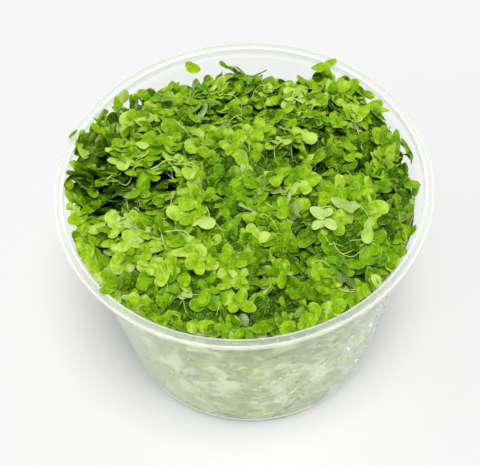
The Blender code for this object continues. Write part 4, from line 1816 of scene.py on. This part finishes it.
def tube_shells(paths: Array, radius: Array, sides: int) -> Shells:
    """Thin tubes along many paths.

    Args:
        paths: path points, (tubes, points, 3).
        radius: tube radius at each path point, (tubes, points).
        sides: points round the tube.

    Returns:
        One closed shell for each path: at every path point a ring of that radius, spanned by two directions
        square to the path, with the path's ends as poles.
    """
    tiny = 1e-12
    nearly_up = np.array([0.0, 0.0, 1.0]) + 1e-3
    along = np.gradient(paths, axis=1)
    along /= np.maximum(np.linalg.norm(along, axis=2, keepdims=True), tiny)
    level = np.cross(along, nearly_up)
    level /= np.maximum(np.linalg.norm(level, axis=2, keepdims=True), tiny)
    across = np.cross(along, level)
    angle = np.linspace(0, 2 * math.pi, sides, endpoint=False)
    ring = level[:, :, None] * np.cos(angle)[:, None] + across[:, :, None] * np.sin(angle)[:, None]
    rings = paths[:, :, None] + radius[:, :, None, None] * ring
    return Shells(rings, paths[:, 0], paths[:, -1])


# Root threads that lie clear on the heap: x and y of both ends in millimetres
THREADS = (
    (17.4, 39.7, 14.3, 18.8), (-13.7, 40.7, -12.9, 29.4), (-12.9, 29.4, -11.5, 16.7),
    (-25.2, 21.7, -19.5, 12.0), (-14.0, -10.7, -10.7, -15.9), (2.7, -9.6, 10.5, -16.6),
    (7.0, -10.7, 4.3, -12.7), (10.4, 15.4, 13.8, 8.5), (4.0, 37.1, 2.0, 30.8),
    (-24.0, 1.3, -13.3, 2.4), (6.0, 7.7, 7.2, 2.8), (23.4, -9.3, 28.6, -3.8),
    (-32.7, -5.3, -29.5, -2.2), (-13.1, 16.7, -9.1, 13.6), (25.3, -23.6, 30.4, -27.5),
)


@dataclass
class Roots:
    """Root threads on the heap, drooping over its fronds. Their lengths are in millimetres."""

    packing: Packing
    rng: np.random.Generator
    count: int = 85
    start_margin: float = 4 * MM
    margin: float = 2 * MM
    spacing: float = 5.4 * MM
    jitter: float = 0.4
    lengths: Pair = (6, 14)
    bend: float = 0.9
    wave: float = 0.35
    bow: float = 0.07
    bow_turn: float = 1.3 * math.pi
    blur: tuple[int, ...] = (1, 2, 3, 2, 1)
    above: float = 0.3 * MM
    rise: float = 1.2 * MM
    points: int = 14
    sides: int = 5
    thickness: float = 0.30 * MM
    taper: float = 0.45

    def build(self, material: bpy.types.Material) -> bpy.types.Object:
        """Makes the threads.

        A thread's heading turns evenly along it, plus a sine, so that it curves. Those in THREADS run
        straight from their first end, with a bow of a sine to one side. A thread's height follows the settled
        height map, smoothed along the thread, plus a small rise in the middle.

        Returns:
            The object.
        """
        reach = self.packing.cup.wall_top_radius - self.start_margin
        start = hex_places(reach, self.spacing, self.rng, self.jitter)[:self.count]
        count = len(start)
        length = self.rng.uniform(*self.lengths, count) * MM
        heading = self.rng.uniform(0, 2 * math.pi, count)
        bend = self.rng.normal(0, self.bend, count)
        wave = self.rng.normal(0, self.wave, count)
        step = np.linspace(0, 1, self.points)
        way = heading[:, None] + bend[:, None] * step + wave[:, None] * np.sin(2 * math.pi * step)
        move = np.stack([np.cos(way), np.sin(way)], axis=-1) * (length / self.points)[:, None, None]
        flat = start[:, None] + np.cumsum(move, axis=1)

        ends = np.array(THREADS) * MM
        bow = np.column_stack([ends[:, 1] - ends[:, 3], ends[:, 2] - ends[:, 0]])[:, None] * self.bow
        named = ends[:, None, :2] + (ends[:, 2:] - ends[:, :2])[:, None] * step[:, None]
        flat = np.concatenate([flat, named + bow * np.sin(self.bow_turn * step)[:, None]])
        count = len(flat)
        radius = np.hypot(flat[..., 0], flat[..., 1])
        flat *= np.minimum(1.0, (self.packing.cup.wall_top_radius - self.margin) / radius)[..., None]

        row, column = self.packing.cells(flat)
        around = len(self.blur) // 2
        padded = np.pad(self.packing.heights[row, column], ((0, 0), (around, around)), mode="edge")
        height = sum(weight * padded[:, k:k + self.points] for k, weight in enumerate(self.blur))
        rise = self.rise * np.sin(math.pi * step) * self.rng.random(count)[:, None]
        height = height / sum(self.blur) + self.above + rise
        paths = np.concatenate([flat, height[..., None]], axis=-1)
        half = self.thickness / 2 * (1.0 - self.taper * step)
        shells = tube_shells(paths, np.broadcast_to(half, (count, self.points)), self.sides)
        made = shells.build("root_threads", material)
        dress_packed(made)
        return made


@dataclass
class Drops:
    """Small water drops on the wall, most of them at its right side.

    A streak's azimuth is a mean and a spread in degrees, and its middle lies in a range of heights in
    millimetres. A drop's radius is a middle value in millimetres with the spread of its logarithm, held to a
    range. The cap's height, its sink into the wall and the pole below are shares of that radius.
    """

    cup: Cup
    rng: np.random.Generator
    count: int = 300
    streaks: int = 14
    streak_length: float = 24.0 * MM
    streak_slope: float = math.radians(40)
    streak_azimuth: Pair = (-48, 22)
    streak_heights: Pair = (16, 54)
    streak_stray: float = 0.35
    size: Pair = (0.34, 0.35)
    sizes: Pair = (0.18, 0.8)
    cap_height: float = 0.55
    sink: float = 0.06
    below: float = 0.10
    around: int = 12
    shares: tuple[float, ...] = (0.35, 0.7, 0.92)

    def build(self, material: bpy.types.Material) -> bpy.types.Object:
        """Makes the drops as flattened caps on the outer wall.

        A cap's height falls from its middle as the root of one minus the squared share. Each is turned to
        face outwards, and its rim sinks a little into the wall. The drops lie in streaks, each of which
        climbs to the right at about the same slope.

        Returns:
            The object.
        """
        streak = self.rng.integers(0, self.streaks, self.count)
        start = np.radians(self.rng.normal(*self.streak_azimuth, self.streaks))[streak]
        base = (self.rng.uniform(*self.streak_heights, self.streaks) * MM)[streak]
        along = self.rng.uniform(-0.5, 0.5, self.count) * self.streak_length
        azimuth = start + along * math.cos(self.streak_slope) / self.cup.wall_top_radius
        stray = self.rng.normal(0, self.streak_stray, self.count) * MM
        height = base + along * math.sin(self.streak_slope) + stray
        middle, spread = self.size
        size = np.clip(self.rng.lognormal(math.log(middle), spread, self.count), *self.sizes) * MM
        angle = np.linspace(0, 2 * math.pi, self.around, endpoint=False)
        share = np.array(self.shares + (1.0,))
        lift = self.cap_height * np.sqrt(1 - share ** 2) - self.sink
        local = np.stack([
            share[:, None] * np.cos(angle),
            share[:, None] * np.sin(angle),
            np.broadcast_to(lift[:, None], (len(share), self.around)),
        ], axis=-1)
        out = self.cup.facing_out(azimuth)
        place = round_places(self.cup.outer_radius(height), azimuth, height)
        rings = np.einsum("nij,rcj->nrci", out, local) * size[:, None, None, None] + place[:, None, None]
        tops = place + out[:, :, 2] * ((self.cap_height - self.sink) * size)[:, None]
        bottoms = place - out[:, :, 2] * (self.below * size)[:, None]
        made = Shells(rings, tops, bottoms).build("wall_drops", material)
        dress(made, None)
        return made


@dataclass
class Studio:
    """The pale floor, the soft light and the camera."""

    focal_px: float = 987.5
    image_px: float = 480.0
    sensor: float = 36.0
    eye: tuple[float, float, float] = (-1.9 * MM, -160.2 * MM, 278.6 * MM)
    pitch: float = math.radians(55.594)
    roll: float = math.radians(-4.834)
    floor_half: float = 3.0
    zenith: float = 0.116
    horizon: float = 1.50
    sky_power: float = 3.0
    key: float = 3.74
    key_spread: float = math.radians(30)
    key_turn: tuple[float, float, float] = (math.radians(12.5), math.radians(3), 0.0)
    fill: float = 0.55
    fill_spread: float = math.radians(70)
    fill_turn: tuple[float, float, float] = (math.radians(15), math.radians(-62), 0.0)

    def build(self) -> None:
        """Makes everything that isn't the object."""
        self.light()
        self.floor()
        self.camera()
        bpy.context.scene.view_settings.view_transform = "Standard"

    def light(self) -> None:
        """A pale sky, brighter low down like a white room, a broad sun overhead and a weak fill.

        The sky's strength is the zenith's plus the horizon's times a power of one minus the height.
        """
        world = bpy.data.worlds.new("studio")
        world.use_nodes = True
        tree = world.node_tree
        split = tree.nodes.new("ShaderNodeSeparateXYZ")
        tree.links.new(tree.nodes.new("ShaderNodeTexCoord").outputs["Generated"], split.inputs[0])
        socket = split.outputs["Z"]
        steps = (
            ("SUBTRACT", 1.0, None),
            ("POWER", None, self.sky_power),
            ("MULTIPLY", None, self.horizon),
            ("ADD", None, self.zenith),
        )
        for operation, first, second in steps:
            maths = tree.nodes.new("ShaderNodeMath")
            maths.operation = operation
            for k, given in enumerate((first, second)):
                if given is None:
                    tree.links.new(socket, maths.inputs[k])
                else:
                    maths.inputs[k].default_value = given
            socket = maths.outputs[0]
        tree.links.new(socket, tree.nodes["Background"].inputs["Strength"])
        tree.nodes["Background"].inputs["Color"].default_value = WHITE
        bpy.context.scene.world = world
        lamps = (
            ("key", self.key, self.key_spread, self.key_turn),
            ("fill", self.fill, self.fill_spread, self.fill_turn),
        )
        for name, strength, spread, turn in lamps:
            lamp = bpy.data.lights.new(name, "SUN")
            lamp.energy = strength
            lamp.angle = spread
            made = bpy.data.objects.new(name, lamp)
            made.rotation_euler = turn
            bpy.context.scene.collection.objects.link(made)

    def floor(self) -> None:
        """A flat square on which the cup stands."""
        half = self.floor_half
        corners = [(-half, -half, 0), (half, -half, 0), (half, half, 0), (-half, half, 0)]
        mesh = bpy.data.meshes.new("floor")
        mesh.from_pydata(corners, [], [(0, 1, 2, 3)])
        mesh.materials.append(FloorFinish().build())
        made = bpy.data.objects.new("floor", mesh)
        bpy.context.scene.collection.objects.link(made)

    def camera(self) -> None:
        """The camera: it looks along +Y, down by the pitch, and rolled."""
        lens = bpy.data.cameras.new("camera")
        lens.sensor_width = self.sensor
        lens.lens = self.focal_px * self.sensor / self.image_px
        lens.clip_start = 0.01
        made = bpy.data.objects.new("camera", lens)
        made.location = self.eye
        made.rotation_mode = "QUATERNION"
        turn = turn_about(0, math.pi / 2 - self.pitch) @ turn_about(2, self.roll)
        made.rotation_quaternion = quaternion_of(turn)
        bpy.context.scene.collection.objects.link(made)
        bpy.context.scene.camera = made


def quaternion_of(turn: Array) -> tuple[float, float, float, float]:
    """The unit quaternion of a rotation matrix with a trace above -1.

    Its first number is half the root of one plus the trace, and the others are differences across the
    diagonal over four times that.
    """
    real = math.sqrt(max(0.0, 1 + turn[0, 0] + turn[1, 1] + turn[2, 2])) / 2
    x = (turn[2, 1] - turn[1, 2]) / (4 * real)
    y = (turn[0, 2] - turn[2, 0]) / (4 * real)
    z = (turn[1, 0] - turn[0, 1]) / (4 * real)
    return real, x, y, z


def main() -> None:
    """Builds the stage and then the object, piece by piece."""
    logging.basicConfig(level=logging.INFO, format="%(message)s")
    rng = np.random.default_rng(SEED)
    Studio().build()
    cup = Cup()
    heap = Heap(cup)
    cup.build(CupFinish().build())
    frond = FrondFinish().build()
    packing = Packing(cup, heap, rng)
    packing.build(frond)
    PackedInside(cup, heap).build(PackedFinish().build())
    LoosePlants(heap, rng).build(frond)
    Blades(rng).build(frond)
    Roots(packing, rng).build(RootFinish().build())
    Drops(cup, rng).build(WaterFinish().build())


if __name__ == "__main__":
    main()
